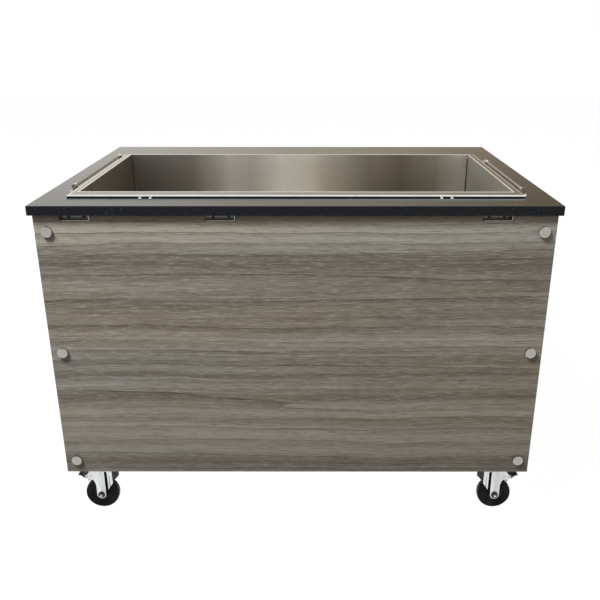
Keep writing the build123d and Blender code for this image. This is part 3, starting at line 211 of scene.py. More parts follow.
def make_brushing():
    """Fine lines of a brushed or rolled sheet."""
    inputs = [("Vector", "Vector", None), ("Stretch", "Vector", (8, 900, 900))]
    net, given, out = shared_effect("brushing", inputs, [("Mask", "Float")])
    place = net.vector("MULTIPLY", given["Vector"], given["Stretch"])
    fine = net.noise(place, (1, 1, 1), 3, 0.6)
    coarse = net.noise(place, (0.37, 0.21, 0.21), 2)
    net.feed(out["Mask"], net.plus(net.times(fine, 0.62), net.times(coarse, 0.38)))
    return net.tree


def make_edge_wear():
    """Edges, found by how the rounded normal differs from the flat one."""
    net, given, out = shared_effect("edge_wear", [("Radius", "Float", 0.001)], [("Mask", "Float")])
    rounded = net.node("Bevel", {"samples": 4}, Radius=given["Radius"]).outputs[0]
    flat = net.node("NewGeometry").outputs["Normal"]
    net.feed(out["Mask"], net.span(net.vector("DOT_PRODUCT", rounded, flat), 0.985, 0.8))
    return net.tree


def make_smudges():
    """Cloudy patches of handling, water marks and dust."""
    inputs = [("Vector", "Vector", None), ("Size", "Float", 6)]
    net, given, out = shared_effect("smudges", inputs, [("Mask", "Float"), ("Fine", "Float")])
    place = net.scaled(given["Vector"], given["Size"])
    cloud = net.noise(place, (1, 1, 1), 5, 0.62)
    net.feed(out["Mask"], net.span(cloud, 0.42, 0.66))
    net.feed(out["Fine"], net.noise(place, (9, 9, 9), 3, 0.6))
    return net.tree


def make_specks():
    """Small round specks scattered at random."""
    inputs = [("Vector", "Vector", None), ("Scale", "Float", 200), ("Share", "Float", 0.1)]
    inputs += [("Size", "Float", 0.3)]
    net, given, out = shared_effect("specks", inputs, [("Mask", "Float")])
    cells = net.node("TexVoronoi", Vector=given["Vector"], Scale=given["Scale"])
    parts = net.node("SeparateColor", Color=cells.outputs["Color"])
    picked = net.math("LESS_THAN", parts.outputs[0], given["Share"])
    size = net.times(given["Size"], net.span(parts.outputs[1], 0, 1, 0.5, 1.2))
    near = net.math("LESS_THAN", cells.outputs["Distance"], size)
    net.feed(out["Mask"], net.times(picked, near))
    return net.tree


def make_moulded_skin():
    """Fine texture of moulded plastic or rubber."""
    inputs = [("Vector", "Vector", None), ("Size", "Float", 900)]
    net, given, out = shared_effect("moulded_skin", inputs, [("Height", "Float"), ("Mask", "Float")])
    place = net.scaled(given["Vector"], given["Size"])
    net.feed(out["Height"], net.noise(place, (1, 1, 1), 3, 0.6))
    net.feed(out["Mask"], net.noise(place, (0.06, 0.06, 0.06), 3, 0.55))
    return net.tree


BRUSHING = make_brushing()
EDGE_WEAR = make_edge_wear()
SMUDGES = make_smudges()
SPECKS = make_specks()
MOULDED_SKIN = make_moulded_skin()


def finish(name):
    """Start a material and return it with its net and Object coordinates."""
    material = bpy.data.materials.new(name)
    material.use_nodes = True
    net = Net(material.node_tree)
    return material, net, net.node("TexCoord").outputs["Object"]


def make_granite():
    """Polished black granite with a few pale and bluish specks."""
    material, net, place = finish("granite_finish")
    grains = net.noise(place, (520, 520, 520), 3, 0.7)
    clouds = net.use(SMUDGES, Vector=place, Size=9)
    stone = net.mix(net.span(grains, 0.35, 0.68), rgb(0.0008, 0.0014, 0.0024), rgb(0.004, 0.0062, 0.0092))
    stone = net.soiled(stone, clouds, 0.35, rgb(0.0038, 0.0046, 0.006))
    for scale, share, size, colour in (
        (300, 0.07, 0.26, rgb(0.05, 0.078, 0.088)),
        (150, 0.06, 0.17, rgb(0.13, 0.16, 0.165)),
        (620, 0.08, 0.3, rgb(0.018, 0.03, 0.038)),
    ):
        specks = net.use(SPECKS, Vector=place, Scale=scale, Share=share, Size=size)
        stone = net.mix(specks["Mask"], stone, colour)
    net.coat(Base_Color=stone, Roughness=net.span(clouds["Fine"], 0.35, 0.75, 0.03, 0.07), IOR=1.25,
             Normal=net.bump(grains, 0.03, 0.0001))
    return material


def make_laminate(name, turn, shift):
    """Grey-brown wood grain that runs along X once the pattern is turned, with painted shade near the floor.
    """
    material, net, place = finish(name)
    mapped = net.node("Mapping", Vector=place, Location=shift, Rotation=(0, 0, turn)).outputs[0]
    wave = net.noise(mapped, (1.5, 1, 2.4), 2)
    ripple = net.noise(mapped, (9, 2, 20), 3)
    lift = net.plus(net.times(wave, 0.04), net.times(ripple, 0.006))
    flow = net.vector("ADD", mapped, net.node("CombineXYZ", Z=lift).outputs[0])
    bands = net.noise(flow, (0.24, 1, 13), 2, 0.5)
    streaks = net.noise(flow, (0.45, 3, 64), 3, 0.6)
    fibres = net.noise(flow, (9, 6, 300), 2, 0.6)
    flecks = net.noise(flow, (34, 9, 430), 2, 0.6)
    tone = net.plus(net.times(bands, 0.54), net.times(streaks, 0.26))
    tone = net.plus(tone, net.times(fibres, 0.2))
    colour = net.ramp(tone, (
        (0.4, rgb(0.128, 0.114, 0.09)),
        (0.47, rgb(0.193, 0.178, 0.146)),
        (0.53, rgb(0.258, 0.244, 0.206)),
        (0.6, rgb(0.33, 0.319, 0.28)),
    ))
    tint = net.noise(mapped, (0.7, 1, 5), 2)
    warm = net.tinted(colour, 1.05, 0.97, 0.9)
    colour = net.mix(net.span(tint, 0.42, 0.6), colour, warm)
    bunch = net.noise(flow, (0.16, 1, 5), 3, 0.55)
    height = net.axis(flow, 2)
    rings = net.plus(net.times(height, 26), net.times(bunch, 8))
    level = net.math("FRACT", rings)
    fade = net.span(net.noise(flow, (0.9, 1, 20), 3, 0.6), 0.36, 0.6, 0.35, 1)
    line = net.times(net.span(level, 0.9, 0.97), fade)
    trail = net.times(net.span(level, 0.35, 0.95), 0.3)
    dark = net.math("MAXIMUM", line, trail)
    colour = net.mix(dark, colour, net.tinted(colour, 0.34, 0.3, 0.26))
    pores = net.times(net.span(flecks, 0.54, 0.68), 0.5)
    colour = net.mix(pores, colour, net.tinted(colour, 0.42, 0.4, 0.38))
    glints = net.times(net.span(flecks, 0.45, 0.32), 0.34)
    colour = net.mix(glints, colour, rgb(0.44, 0.43, 0.4))
    # Painted shade: the colour darkens towards the floor, standing in for the weaker light low on the panels
    low = net.span(net.axis(place, 2), 0.46, 0.16)
    colour = net.mix(low, colour, net.tinted(colour, 0.77, 0.75, 0.72))
    net.coat(Base_Color=colour)
    smudges = net.use(SMUDGES, Vector=place, Size=5)
    net.coat(Roughness=net.span(smudges["Mask"], 0, 1, 0.46, 0.56), Specular_IOR_Level=0.35)
    relief = net.math("SUBTRACT", fibres, net.times(line, 0.8))
    net.coat(Normal=net.bump(relief, 0.18, 0.0004))
    return material


def make_steel(name, colour, roughness, stretch, contrast=0.1, wear=0, size=5):
    """Brushed or rolled steel whose lines follow the stretch."""
    material, net, place = finish(name)
    lines = net.use(BRUSHING, Vector=place, Stretch=stretch)["Mask"]
    smudges = net.use(SMUDGES, Vector=place, Size=size)
    dull = rgb(*(value * (1 - contrast) for value in colour))
    bright = rgb(*(min(1, value * (1 + contrast)) for value in colour))
    metal = net.mix(net.span(lines, 0.33, 0.67), dull, bright)
    metal = net.soiled(metal, smudges, 0.22, dull)
    rough = net.plus(net.span(lines, 0.3, 0.7, roughness - 0.05, roughness + 0.07),
                     net.times(smudges["Mask"], 0.05))
    if wear:
        edge = net.times(net.use(EDGE_WEAR, Radius=0.0012)["Mask"], wear)
        metal = net.mix(edge, metal, rgb(*(min(1, value * 1.35) for value in colour)))
    net.coat(Base_Color=metal, Roughness=rough, Metallic=1, Normal=net.bump(lines, 0.1, 0.0002))
    return material


def make_tank_steel():
    """Finely brushed tank walls with painted reflection and shade: soft bright and dark bands along the well.
    """
    material, net, place = finish("tank_painted_reflection_finish")
    lines = net.use(BRUSHING, Vector=place, Stretch=(1400, 1400, 4))["Mask"]
    smudges = net.use(SMUDGES, Vector=place, Size=4)
    # Painted reflection and shade: the ramp along X makes the middle of the walls bright and the ends dark,
    # standing in for the room mirrored in the steel
    along = net.axis(place, 0)
    drift = net.noise(place, (2.6, 0.8, 0.6), 2, 0.4)
    along = net.plus(along, net.span(drift, 0.3, 0.7, -0.05, 0.05))
    metal = net.ramp(net.node("MapRange", Value=along, From_Min=-0.56, From_Max=0.56).outputs[0], (
        (0.00, rgb(0.2, 0.188, 0.16)),
        (0.16, rgb(0.3, 0.284, 0.245)),
        (0.27, rgb(0.72, 0.7, 0.66)),
        (0.33, rgb(0.62, 0.6, 0.56)),
        (0.45, rgb(0.88, 0.865, 0.82)),
        (0.53, rgb(0.8, 0.77, 0.69)),
        (0.66, rgb(0.3, 0.27, 0.2)),
        (0.76, rgb(0.2, 0.175, 0.12)),
        (0.88, rgb(0.34, 0.315, 0.25)),
        (0.94, rgb(0.64, 0.62, 0.57)),
        (1.00, rgb(0.72, 0.715, 0.68)),
    ))
    metal = net.mix(net.span(lines, 0.3, 0.72, 0, 0.16), metal, rgb(0.66, 0.645, 0.6))
    metal = net.soiled(metal, smudges, 0.12, rgb(0.36, 0.345, 0.31))
    net.coat(Base_Color=metal, Roughness=net.span(lines, 0.3, 0.7, 0.42, 0.52), Metallic=1,
             Normal=net.bump(lines, 0.06, 0.0002))
    return material


def make_rim_steel():
    """Bright folded sheet whose hollow between the beads gets painted shade and a rougher surface."""
    material, net, place = finish("rim_finish")
    lines = net.use(BRUSHING, Vector=place, Stretch=(90, 90, 900))["Mask"]
    smudges = net.use(SMUDGES, Vector=place, Size=5)
    height = net.axis(place, 2)
    above = net.span(height, 0.8586, 0.8593)
    below = net.span(height, 0.85665, 0.8564)
    hollow = net.math("SUBTRACT", 1, net.plus(above, below, clamp=True))
    metal = net.mix(net.span(lines, 0.33, 0.67), rgb(0.76, 0.765, 0.76), rgb(0.86, 0.865, 0.86))
    # Painted shade: the hollow's colour is darkened to stand in for the dimmer reflection there
    metal = net.mix(net.times(hollow, 0.9), metal, rgb(0.3, 0.295, 0.275))
    metal = net.soiled(metal, smudges, 0.18, rgb(0.5, 0.49, 0.46))
    net.coat(Base_Color=metal,
             Roughness=net.plus(net.span(lines, 0.3, 0.7, 0.22, 0.26), net.times(hollow, 0.16)),
             Metallic=1, Normal=net.bump(lines, 0.015, 0.0002))
    return material


def make_galvanised():
    """Galvanised sheet with its spangle."""
    material, net, place = finish("galvanised_finish")
    cells = net.node("TexVoronoi", Vector=place, Scale=85)
    shade = net.node("SeparateColor", Color=cells.outputs["Color"]).outputs[0]
    smudges = net.use(SMUDGES, Vector=place, Size=6)
    metal = net.mix(shade, rgb(0.42, 0.44, 0.46), rgb(0.6, 0.62, 0.64))
    metal = net.soiled(metal, smudges, 0.3, rgb(0.36, 0.37, 0.38))
    net.coat(Base_Color=metal, Roughness=net.span(shade, 0, 1, 0.34, 0.52), Metallic=0.9)
    return material


def make_plastic(name, colour, roughness, size, relief, wear=0):
    """Moulded plastic, rubber or a dipped coat."""
    material, net, place = finish(name)
    skin = net.use(MOULDED_SKIN, Vector=place, Size=size)
    paler = rgb(*(min(1, value * 1.6 + 0.001) for value in colour))
    coat = net.mix(net.span(skin["Mask"], 0.38, 0.66), rgb(*colour), paler)
    if wear:
        edge = net.times(net.use(EDGE_WEAR, Radius=0.001)["Mask"], wear)
        coat = net.mix(edge, coat, rgb(0.08, 0.08, 0.08))
    net.coat(Base_Color=coat,
             Roughness=net.span(skin["Mask"], 0.35, 0.68, roughness - 0.05, roughness + 0.08),
             Specular_IOR_Level=0.12, Normal=net.bump(skin["Height"], relief, 0.0003))
    return material


def make_lens():
    """Glossy red lens of the pilot lamp."""
    material, net, place = finish("lamp_lens_finish")
    skin = net.use(MOULDED_SKIN, Vector=place, Size=300)
    colour = net.mix(net.span(skin["Mask"], 0.35, 0.65), rgb(0.55, 0.015, 0.01), rgb(0.75, 0.035, 0.02))
    net.coat(Base_Color=colour, Roughness=0.08, IOR=1.49, Coat_Weight=0.6, Coat_Roughness=0.03,
             Normal=net.bump(skin["Height"], 0.05, 0.0003))
    return material


def make_wool():
    """Mineral wool between tank and casing."""
    material, net, place = finish("wool_finish")
    fluff = net.noise(place, (260, 260, 90), 5, 0.7)
    net.coat(Base_Color=net.mix(fluff, rgb(0.42, 0.38, 0.26), rgb(0.74, 0.7, 0.56)), Roughness=0.95,
             Normal=net.bump(fluff, 0.6, 0.002))
    return material


GRANITE = make_granite()
LAMINATE_FRONT = make_laminate("laminate_front_finish", 0, (0.37, 0, 0.12))
LAMINATE_END = make_laminate("laminate_end_finish", math.pi / 2, (2.3, 0.4, 0.9))
TANK_STEEL = make_tank_steel()
STEEL_ACROSS = make_steel("steel_across_finish", (0.56, 0.555, 0.54), 0.31, (7, 700, 700))
STEEL_UPRIGHT = make_steel("steel_upright_finish", (0.55, 0.545, 0.53), 0.31, (700, 700, 7))
RIM_STEEL = make_rim_steel()
BRIGHT_STEEL = make_steel("bright_steel_finish", (0.7, 0.695, 0.68), 0.2, (260, 260, 260), 0.07, 0.4)
CAP_STEEL = make_steel("cap_finish", (0.39, 0.38, 0.35), 0.36, (1100, 60, 90), 0.09, 0.9)
# Painted shade: the notch brackets' steel is darkened for the shade under the worktop's overhang
SHADED_NOTCH_STEEL = make_steel("notch_painted_shade_finish", (0.15, 0.14, 0.118), 0.34, (60, 300, 300), 0.25)
# Nearly black nuts: partly dark steel, partly painted shade for the dark ring round each axle end
NUT_STEEL = make_steel("nut_finish", (0.085, 0.087, 0.09), 0.32, (200, 200, 200), 0.15, 0.7, 30)
# Dim brownish steel: the brown tint is partly painted reflection of the warm surroundings
ROD_STEEL = make_steel("rod_finish", (0.36, 0.34, 0.29), 0.26, (260, 260, 260), 0.1, 0.3)
# Painted shade: the lips' steel is darkened for the shade in the notches under the overhang
SHADED_LIP_STEEL = make_steel("lip_painted_shade_finish", (0.34, 0.33, 0.3), 0.34, (60, 300, 300), 0.12)
ELEMENT_STEEL = make_steel("element_finish", (0.4, 0.385, 0.36), 0.36, (60, 60, 60), 0.16)
ZINC = make_steel("zinc_finish", (0.62, 0.63, 0.64), 0.22, (90, 90, 30), 0.22, 0.6, 30)
BLACKENED = make_steel("blackened_finish", (0.045, 0.045, 0.048), 0.4, (200, 200, 200), 0.25, 0.8)
SEAM_STEEL = make_steel("seam_finish", (0.1, 0.095, 0.085), 0.5, (60, 60, 400), 0.3)
BRASS = make_steel("brass_finish", (0.6, 0.44, 0.18), 0.28, (150, 150, 150), 0.12, 0.4, 20)
GALVANISED = make_galvanised()
GASKET_RUBBER = make_plastic("gasket_finish", (0.01, 0.01, 0.011), 0.62, 700, 0.25)
WHEEL_RUBBER = make_plastic("wheel_finish", (0.001, 0.001, 0.0011), 0.2, 600, 0.05)
BLACK_PLASTIC = make_plastic("black_plastic_finish", (0.016, 0.016, 0.017), 0.42, 1400, 0.16, 0.4)
RED_SLEEVE = make_plastic("lever_sleeve_finish", (0.42, 0.02, 0.016), 0.4, 500, 0.08)
INK = make_plastic("printed_mark_finish", (0.012, 0.012, 0.014), 0.55, 900, 0.05)
WHITE_INK = make_plastic("white_mark_finish", (0.62, 0.62, 0.6), 0.5, 900, 0.05)
LAMP_LENS = make_lens()
WOOL = make_wool()

NODE_FINISHES = {
    "worktop": GRANITE, "well_tank": TANK_STEEL, "rim_gasket": GASKET_RUBBER, "tank_insulation": WOOL,
    "well_casing": GALVANISED, "thermostat_probe": BRIGHT_STEEL, "drain_flange": BRIGHT_STEEL,
    "frame_posts": STEEL_UPRIGHT, "upper_rails": STEEL_ACROSS, "base_rails": STEEL_ACROSS,
    "caster_pads": STEEL_ACROSS, "cabinet_floor": STEEL_ACROSS, "front_panel": LAMINATE_FRONT,
    "left_side_panel": LAMINATE_END, "right_side_panel": LAMINATE_END, "cap_nuts": ZINC,
    "notch_brackets": SHADED_NOTCH_STEEL, "control_fascia": STEEL_ACROSS, "control_box": GALVANISED,
    "thermostat": BLACK_PLASTIC, "rocker_frame": BLACK_PLASTIC, "cord_gland": BLACK_PLASTIC,
    "left_door": STEEL_ACROSS, "right_door": STEEL_ACROSS,
}
for node_name, node_finish in NODE_FINISHES.items():
    for node_slot in NODES[node_name].material_slots:
        node_slot.material = node_finish


# Shapes


def put(name, data):
    """Put a mesh, lamp, camera or lettering into the scene as an object."""
    thing = bpy.data.objects.new(name, data)
    bpy.context.scene.collection.objects.link(thing)
    return thing


def facing(place, direction, across=None):
    """Give the matrix that puts a shape at a place with its Z along a direction."""
    upward = Vector(direction).normalized()
    if across is None:
        turn = upward.to_track_quat("Z", "Y").to_matrix()
    else:
        first = Vector(across).normalized()
        turn = Matrix((first, upward.cross(first), upward)).transposed()
    return Matrix.Translation(Vector(place)) @ turn.to_4x4()


def into(whole, shape, matrix=None):
    """Put one finished shape into a piece."""
    bmesh.ops.remove_doubles(shape, verts=shape.verts, dist=MERGE)
    if matrix is not None:
        bmesh.ops.transform(shape, matrix=matrix, verts=shape.verts)
    bmesh.ops.recalc_face_normals(shape, faces=shape.faces)
    mesh = bpy.data.meshes.new("shape")
    shape.to_mesh(mesh)
    shape.free()
    whole.from_mesh(mesh)
    bpy.data.meshes.remove(mesh)


def piece(name, whole, material, stands_for=(), body="counter", crease=32):
    """Turn the shapes into a piece of the object that rides on a body."""
    mesh = bpy.data.meshes.new(name)
    whole.to_mesh(mesh)
    whole.free()
    mesh.polygons.foreach_set("use_smooth", [True] * len(mesh.polygons))
    mesh.set_sharp_from_angle(angle=math.radians(crease))
    mesh.materials.append(material)
    thing = put(name, mesh)
    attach(thing, body)
    if stands_for:
        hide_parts(*stands_for)
    return thing


def soften(shape, edges, width, segments=2):
    """Round the given edges of a shape."""
    bmesh.ops.bevel(shape, geom=list(edges), offset=width, segments=segments, profile=0.5, material=-1,
                    affect="EDGES", clamp_overlap=True)


def add_block(whole, low, high, round_by=0):
    """Add a block between two corners, with rounded edges."""
    shape = bmesh.new()
    bmesh.ops.create_cube(shape, size=1)
    size = [b - a for a, b in zip(low, high)]
    middle = [(a + b) / 2 for a, b in zip(low, high)]
    bmesh.ops.scale(shape, vec=size, verts=shape.verts)
    bmesh.ops.translate(shape, vec=middle, verts=shape.verts)
    if round_by:
        soften(shape, shape.edges, round_by)
    into(whole, shape)


def add_turned(whole, outline, place, direction, steps, closed=False):
    """Add a shape turned from an outline of radius and height, in metres."""
    shape = bmesh.new()
    verts = [shape.verts.new((radius, 0, height)) for radius, height in outline]
    pairs = list(zip(verts, verts[1:] + verts[:1] if closed else verts[1:]))
    edges = [shape.edges.new(pair) for pair in pairs]
    bmesh.ops.spin(shape, geom=verts + edges, cent=(0, 0, 0), axis=UP, dvec=(0, 0, 0),
                   angle=2 * math.pi, steps=steps, use_merge=True, use_duplicate=False)
    into(whole, shape, facing(place, direction))


def only(items, kind):
    """Keep the corners or the edges among the items."""
    return [item for item in items if isinstance(item, kind)]


def thicken(shape, height):
    """Extrude a flat shape upwards."""
    grown = bmesh.ops.extrude_face_region(shape, geom=list(shape.faces))["geom"]
    bmesh.ops.translate(shape, vec=(0, 0, height), verts=only(grown, bmesh.types.BMVert))


def add_plate(whole, outline, matrix, thickness, round_by=0):
    """Add a flat plate from an outline, extruded along the matrix's Z, with rounded edges."""
    shape = bmesh.new()
    shape.faces.new([shape.verts.new((a, b, 0)) for a, b in outline])
    thicken(shape, thickness)
    if round_by:
        edges = [edge for edge in shape.edges if edge.is_manifold and edge.calc_face_angle() > 0.6]
        soften(shape, edges, round_by)
    into(whole, shape, matrix)


def add_hexagon(whole, place, direction, flats, height, round_by=0.0006):
    """Add a hexagonal nut or bolt head."""
    shape = bmesh.new()
    bmesh.ops.create_circle(shape, cap_ends=True, radius=flats / math.sqrt(3), segments=6)
    thicken(shape, height)
    soften(shape, shape.edges, round_by)
    into(whole, shape, facing(place, direction))


def add_tube(whole, start, heading, radius, moves, sides):
    """Add a round bar whose moves are each a length, or an axis, an angle and a bend radius."""
    shape = bmesh.new()
    heading = Vector(heading).normalized()
    bmesh.ops.create_circle(shape, cap_ends=True, radius=radius, segments=sides)
    bmesh.ops.transform(shape, matrix=facing(start, heading), verts=shape.verts)
    ring = list(shape.edges)
    place = Vector(start)
    for move in moves:
        if isinstance(move, (int, float)):
            grown = bmesh.ops.extrude_edge_only(shape, edges=ring)["geom"]
            verts = only(grown, bmesh.types.BMVert)
            bmesh.ops.translate(shape, vec=heading * move, verts=verts)
            ring = only(grown, bmesh.types.BMEdge)
            ring = [edge for edge in ring if all(vert in verts for vert in edge.verts)]
            place = place + heading * move
        else:
            axis, angle, bend = Vector(move[0]), math.radians(move[1]), move[2]
            centre = place + axis.cross(heading) * math.copysign(bend, angle)
            grown = bmesh.ops.spin(shape, geom=ring, cent=centre, axis=axis, dvec=(0, 0, 0), angle=angle,
                                   steps=8, use_merge=False, use_duplicate=False)["geom_last"]
            ring = only(grown, bmesh.types.BMEdge)
            turn = Matrix.Rotation(angle, 3, axis)
            place = centre + turn @ (place - centre)
            heading = turn @ heading
    bmesh.ops.edgeloop_fill(shape, edges=ring)
    into(whole, shape)


def add_words(whole, words, size, matrix):
    """Add thin raised lettering, centred on the matrix."""
    text = bpy.data.curves.new("words", "FONT")
    text.body = words
    text.size = size
    text.align_x = "CENTER"
    text.align_y = "CENTER"
    text.extrude = 0.00008
    holder = put("words", text)
    graph = bpy.context.evaluated_depsgraph_get()
    mesh = bpy.data.meshes.new_from_object(holder.evaluated_get(graph))
    shape = bmesh.new()
    shape.from_mesh(mesh)
    into(whole, shape, matrix)
    bpy.data.objects.remove(holder)
    bpy.data.curves.remove(text)
    bpy.data.meshes.remove(mesh)


# Worktop: rim, screws and side rods

RIM_OUTLINE = mm([
    (0, 858.4), (0.3, 859.3), (1, 859.9), (2.2, 860), (3.2, 859.6), (4, 858.8), (5, 858.2),
    (11, 857.4), (18, 856.4), (19.4, 856.5), (20.8, 856.8), (22, 856.7), (23, 856.1), (23.7, 855.1),
    (24, 853.6), (23.9, 851.9), (23.4, 851.3), (23.1, 852.1), (13, 852.1), (13, 853.5), (21.6, 853.5),
    (21.6, 854.6), (20.6, 855.2), (18.2, 855.1), (5.2, 856.7), (1.5, 857.6),
])
SKIRT_OUTLINE = mm([(0, 846), (0, 858.3), (1.5, 858.3), (1.5, 846)])


def add_mitred_rails(whole, outline):
    """Add four rails round the well from one outline of distance out and height."""
    corners = ((-1, -1), (1, -1), (1, 1), (-1, 1))
    for index, first in enumerate(corners):
        second = corners[(index + 1) % 4]
        run = Vector((second[0] - first[0], second[1] - first[1], 0)).normalized() * RIM_MITRE_GAP / 2
        shape = bmesh.new()
        loops = []
        for (across, along), shift in ((first, run), (second, -run)):
            edge_y = WELL_FRONT if along < 0 else WELL_REAR
            verts = [shape.verts.new((across * (WELL_HALF + out) + shift[0],
                                      edge_y + along * out + shift[1], height))
                     for out, height in outline]
            loops.append([shape.edges.new(pair) for pair in zip(verts, verts[1:] + verts[:1])])
        bmesh.ops.bridge_loops(shape, edges=loops[0] + loops[1])
        for loop in loops:
            bmesh.ops.contextual_create(shape, geom=loop)
        into(whole, shape)


def make_rim():
    """Four mitred rails of folded sheet, with skirts that turn down into the tank."""
    rails = bmesh.new()
    skirts = bmesh.new()
    add_mitred_rails(rails, RIM_OUTLINE)
    add_mitred_rails(skirts, SKIRT_OUTLINE)
    piece("rim_rails", rails, RIM_STEEL, ["well_rim"], crease=38)
    piece("rim_skirts", skirts, TANK_STEEL)


def make_tank_seams():
    """Dark welded seams in the tank's upright corners."""
    whole = bmesh.new()
    for across in (-1, 1):
        for y, along in ((WELL_FRONT, -1), (WELL_REAR, 1)):
            place = (across * (WELL_HALF - 0.0006), y - along * 0.0006, TANK_FLOOR)
            outline = [(0, 0), (0.0021, 0), (0.0021, 0.188), (0, 0.188)]
            add_turned(whole, outline, place, UP, 12)
    piece("tank_corner_seams", whole, SEAM_STEEL)


SCREW_DOME = mm([
    (0, 1.3), (1.3, 1.3), (1.5, 2.9), (2.3, 2.6), (3.1, 1.9), (3.6, 1.1), (3.8, 0.4), (3.8, 0), (2, 0),
    (2, -14), (0, -14),
])
DOME_X = (-0.362, -0.338, 0.338, 0.362)
DOME_Y = (-0.3446, 0.2416)
# Side rods: x, and where they start and end in y
LEFT_ROD = (-0.544, -0.241, 0.215)
RIGHT_ROD = (0.541, -0.281, 0.111)
ROD_SCREW_REACH = 0.028
ROD_Z = 0.857
RIB_PITCH = 0.011


def make_rim_screws():
    """Dome screws that stand on the granite beside the rim."""
    whole = bmesh.new()
    places = [(x, y) for y in DOME_Y for x in DOME_X]
    for x, front, rear in (LEFT_ROD, RIGHT_ROD):
        places += [(x, front - ROD_SCREW_REACH), (x, rear + ROD_SCREW_REACH)]
    for x, y in places:
        add_turned(whole, SCREW_DOME, (x, y, GRANITE_TOP), UP, 24)
    piece("rim_dome_screws", whole, BRIGHT_STEEL, ["rim_screws"])


def make_side_rod(name, x, front, rear, node):
    """A ribbed rod with a socket head at the guests' end and a collar behind it."""
    whole = bmesh.new()
    outline = mm([(0, -1.8), (2.6, -1.8), (2.6, -6), (5.4, -6), (5.9, -5.4), (6, -4.6), (6, -0.6),
                  (5.5, 0), (2.6, 0), (2.6, 12.2), (4.4, 12.6), (4.4, 16), (2.7, 16.4)])
    length = rear - front
    for index in range(int((length - 0.04) / RIB_PITCH)):
        foot = 0.0185 + index * RIB_PITCH
        outline += [(0.0024, foot), (0.0037, foot + 0.0014), (0.0039, foot + 0.003), (0.0037, foot + 0.0046),
                    (0.0024, foot + 0.006)]
    outline += [(0.0026, length), (0, length)]
    add_turned(whole, outline, (x, front, ROD_Z), TO_REAR, 20)
    piece(name, whole, ROD_STEEL, [node])


def make_rod_saddles():
    """Low blocks that the side rods lie in."""
    whole = bmesh.new()
    for x, front, rear in (LEFT_ROD, RIGHT_ROD):
        for y in (front + 0.0002, rear - 0.0118):
            add_block(whole, (x - 0.0045, y, GRANITE_TOP), (x + 0.0045, y + 0.0116, 0.8618), 0.0008)
    piece("rod_saddles", whole, BRIGHT_STEEL, ["rod_blocks"])


make_rim()
make_tank_seams()
make_rim_screws()
make_side_rod("left_side_rod", *LEFT_ROD, "left_rim_rod")
make_side_rod("right_side_rod", *RIGHT_ROD, "right_rim_rod")
make_rod_saddles()


# Body: caps and notch brackets


def make_caps():
    """Round brushed caps with a shadow gap, and their studs."""
    whole = bmesh.new()
    outline = mm([(0, 7.5), (7, 7.45), (11, 7.3), (12.2, 6.9), (12.8, 6.2), (13, 5.4), (13, 1.6),
                  (12.6, 1.1), (11.4, 0.9), (11.2, 0), (4, 0), (4, -30), (0, -30)])
    for z in CAP_LEVELS:
        for across in (-1, 1):
            add_turned(whole, outline, (across * CAP_X, FRONT_FACE, z), TO_GUESTS, 40)
            for y in SIDE_CAP_Y:
                add_turned(whole, outline, (across * HALF_BODY, y, z), (across, 0, 0), 40)
    piece("panel_cap_discs", whole, CAP_STEEL, ["panel_caps"])


NOTCHES = (-0.4965, -0.169, 0.4555)


def make_notch_details():
    """Rolled lips of the notch brackets, and their dark screws."""
    lips = bmesh.new()
    screws = bmesh.new()
    head = mm([(0, 1.1), (1.2, 1.1), (1.5, 2.2), (2.5, 2.1), (3.2, 1.6), (3.6, 0.8), (3.6, 0), (2.1, 0),
               (2.1, -8), (0, -8)])
    for x in NOTCHES:
        left, right = x - 0.03, x + 0.0325
        front = POST_FACE - 0.0165
        low = SLAB_BOTTOM - 0.0136
        moves = [right - left - 0.005, (TO_GUESTS, 90, 0.005), 0.0072]
        add_tube(lips, (left, front, low), TO_RIGHT, 0.0012, moves, 12)
        for step in (-0.017, 0.017):
            add_turned(screws, head, (x + step, POST_FACE - 0.0015, SLAB_BOTTOM - 0.0075), TO_GUESTS, 20)
    piece("notch_bracket_lips", lips, SHADED_LIP_STEEL)
    piece("notch_bracket_screws", screws, BLACKENED, ["bracket_screws"])


make_caps()
make_notch_details()


# Casters


def caster_place(x, y, side):
    """Give the matrix from a caster's own trail, width and height to the counter."""
    turn = Matrix.Rotation(0 if side > 0 else math.pi, 4, "Z")
    return Matrix.Translation((x, y, 0)) @ turn


def add_upright(whole, outline, place, y, thickness, round_by):
    """Add an upright caster plate with the middle of its thickness at y."""
    matrix = place @ facing((0, y + thickness / 2, 0), TO_GUESTS, TO_RIGHT)
    add_plate(whole, outline, matrix, thickness, round_by)


def arc(centre, radius, first, last, steps):
    """Give points on an arc, in the units of its centre."""
    points = []
    for index in range(steps + 1):
        angle = math.radians(first + (last - first) * index / steps)
        points.append((centre[0] + radius * math.cos(angle), centre[1] + radius * math.sin(angle)))
    return points


# How far the fork's stampings and the pedal's ears stand from the wheel's middle
LEG_Y = 0.0165
GUSSET_Y = 0.0145
RAISED_Y = 0.0185
EAR_Y = 0.0131
BLADE = mm([(54.5, 127.5), (55.4, 109), (58.4, 104.5), (58.4, 99), (55, 95.4), (49, 94.2), (44.6, 89.6),
            (41, 81), (39.5, 74)] + arc((27.5, 44.5), 12, 0, -180, 14) + [(15.5, 127.5)])
SHOULDER = mm([(52.8, 125), (52.8, 110), (50.6, 103), (47.6, 98), (20.6, 98), (20.6, 125)])
FLANGE = mm([(19.6, 125), (19.6, 62), (18, 57.5), (15.5, 55), (15, 57), (14.6, 62), (14.6, 125)])
NEAR_WING = mm([(8, 127.5), (8, 60.5), (2.4, 68.8), (2.4, 127.5)])
FAR_WING = mm([(1.3, 127.5), (1.3, 70.4), (-5.9, 81), (-5.9, 127.5)])
GUSSET = mm([(-5.7, 127.5), (-5.7, 80.8), (-9.6, 88), (-16, 95.5), (-23.8, 104.5), (-23.8, 127.5)])
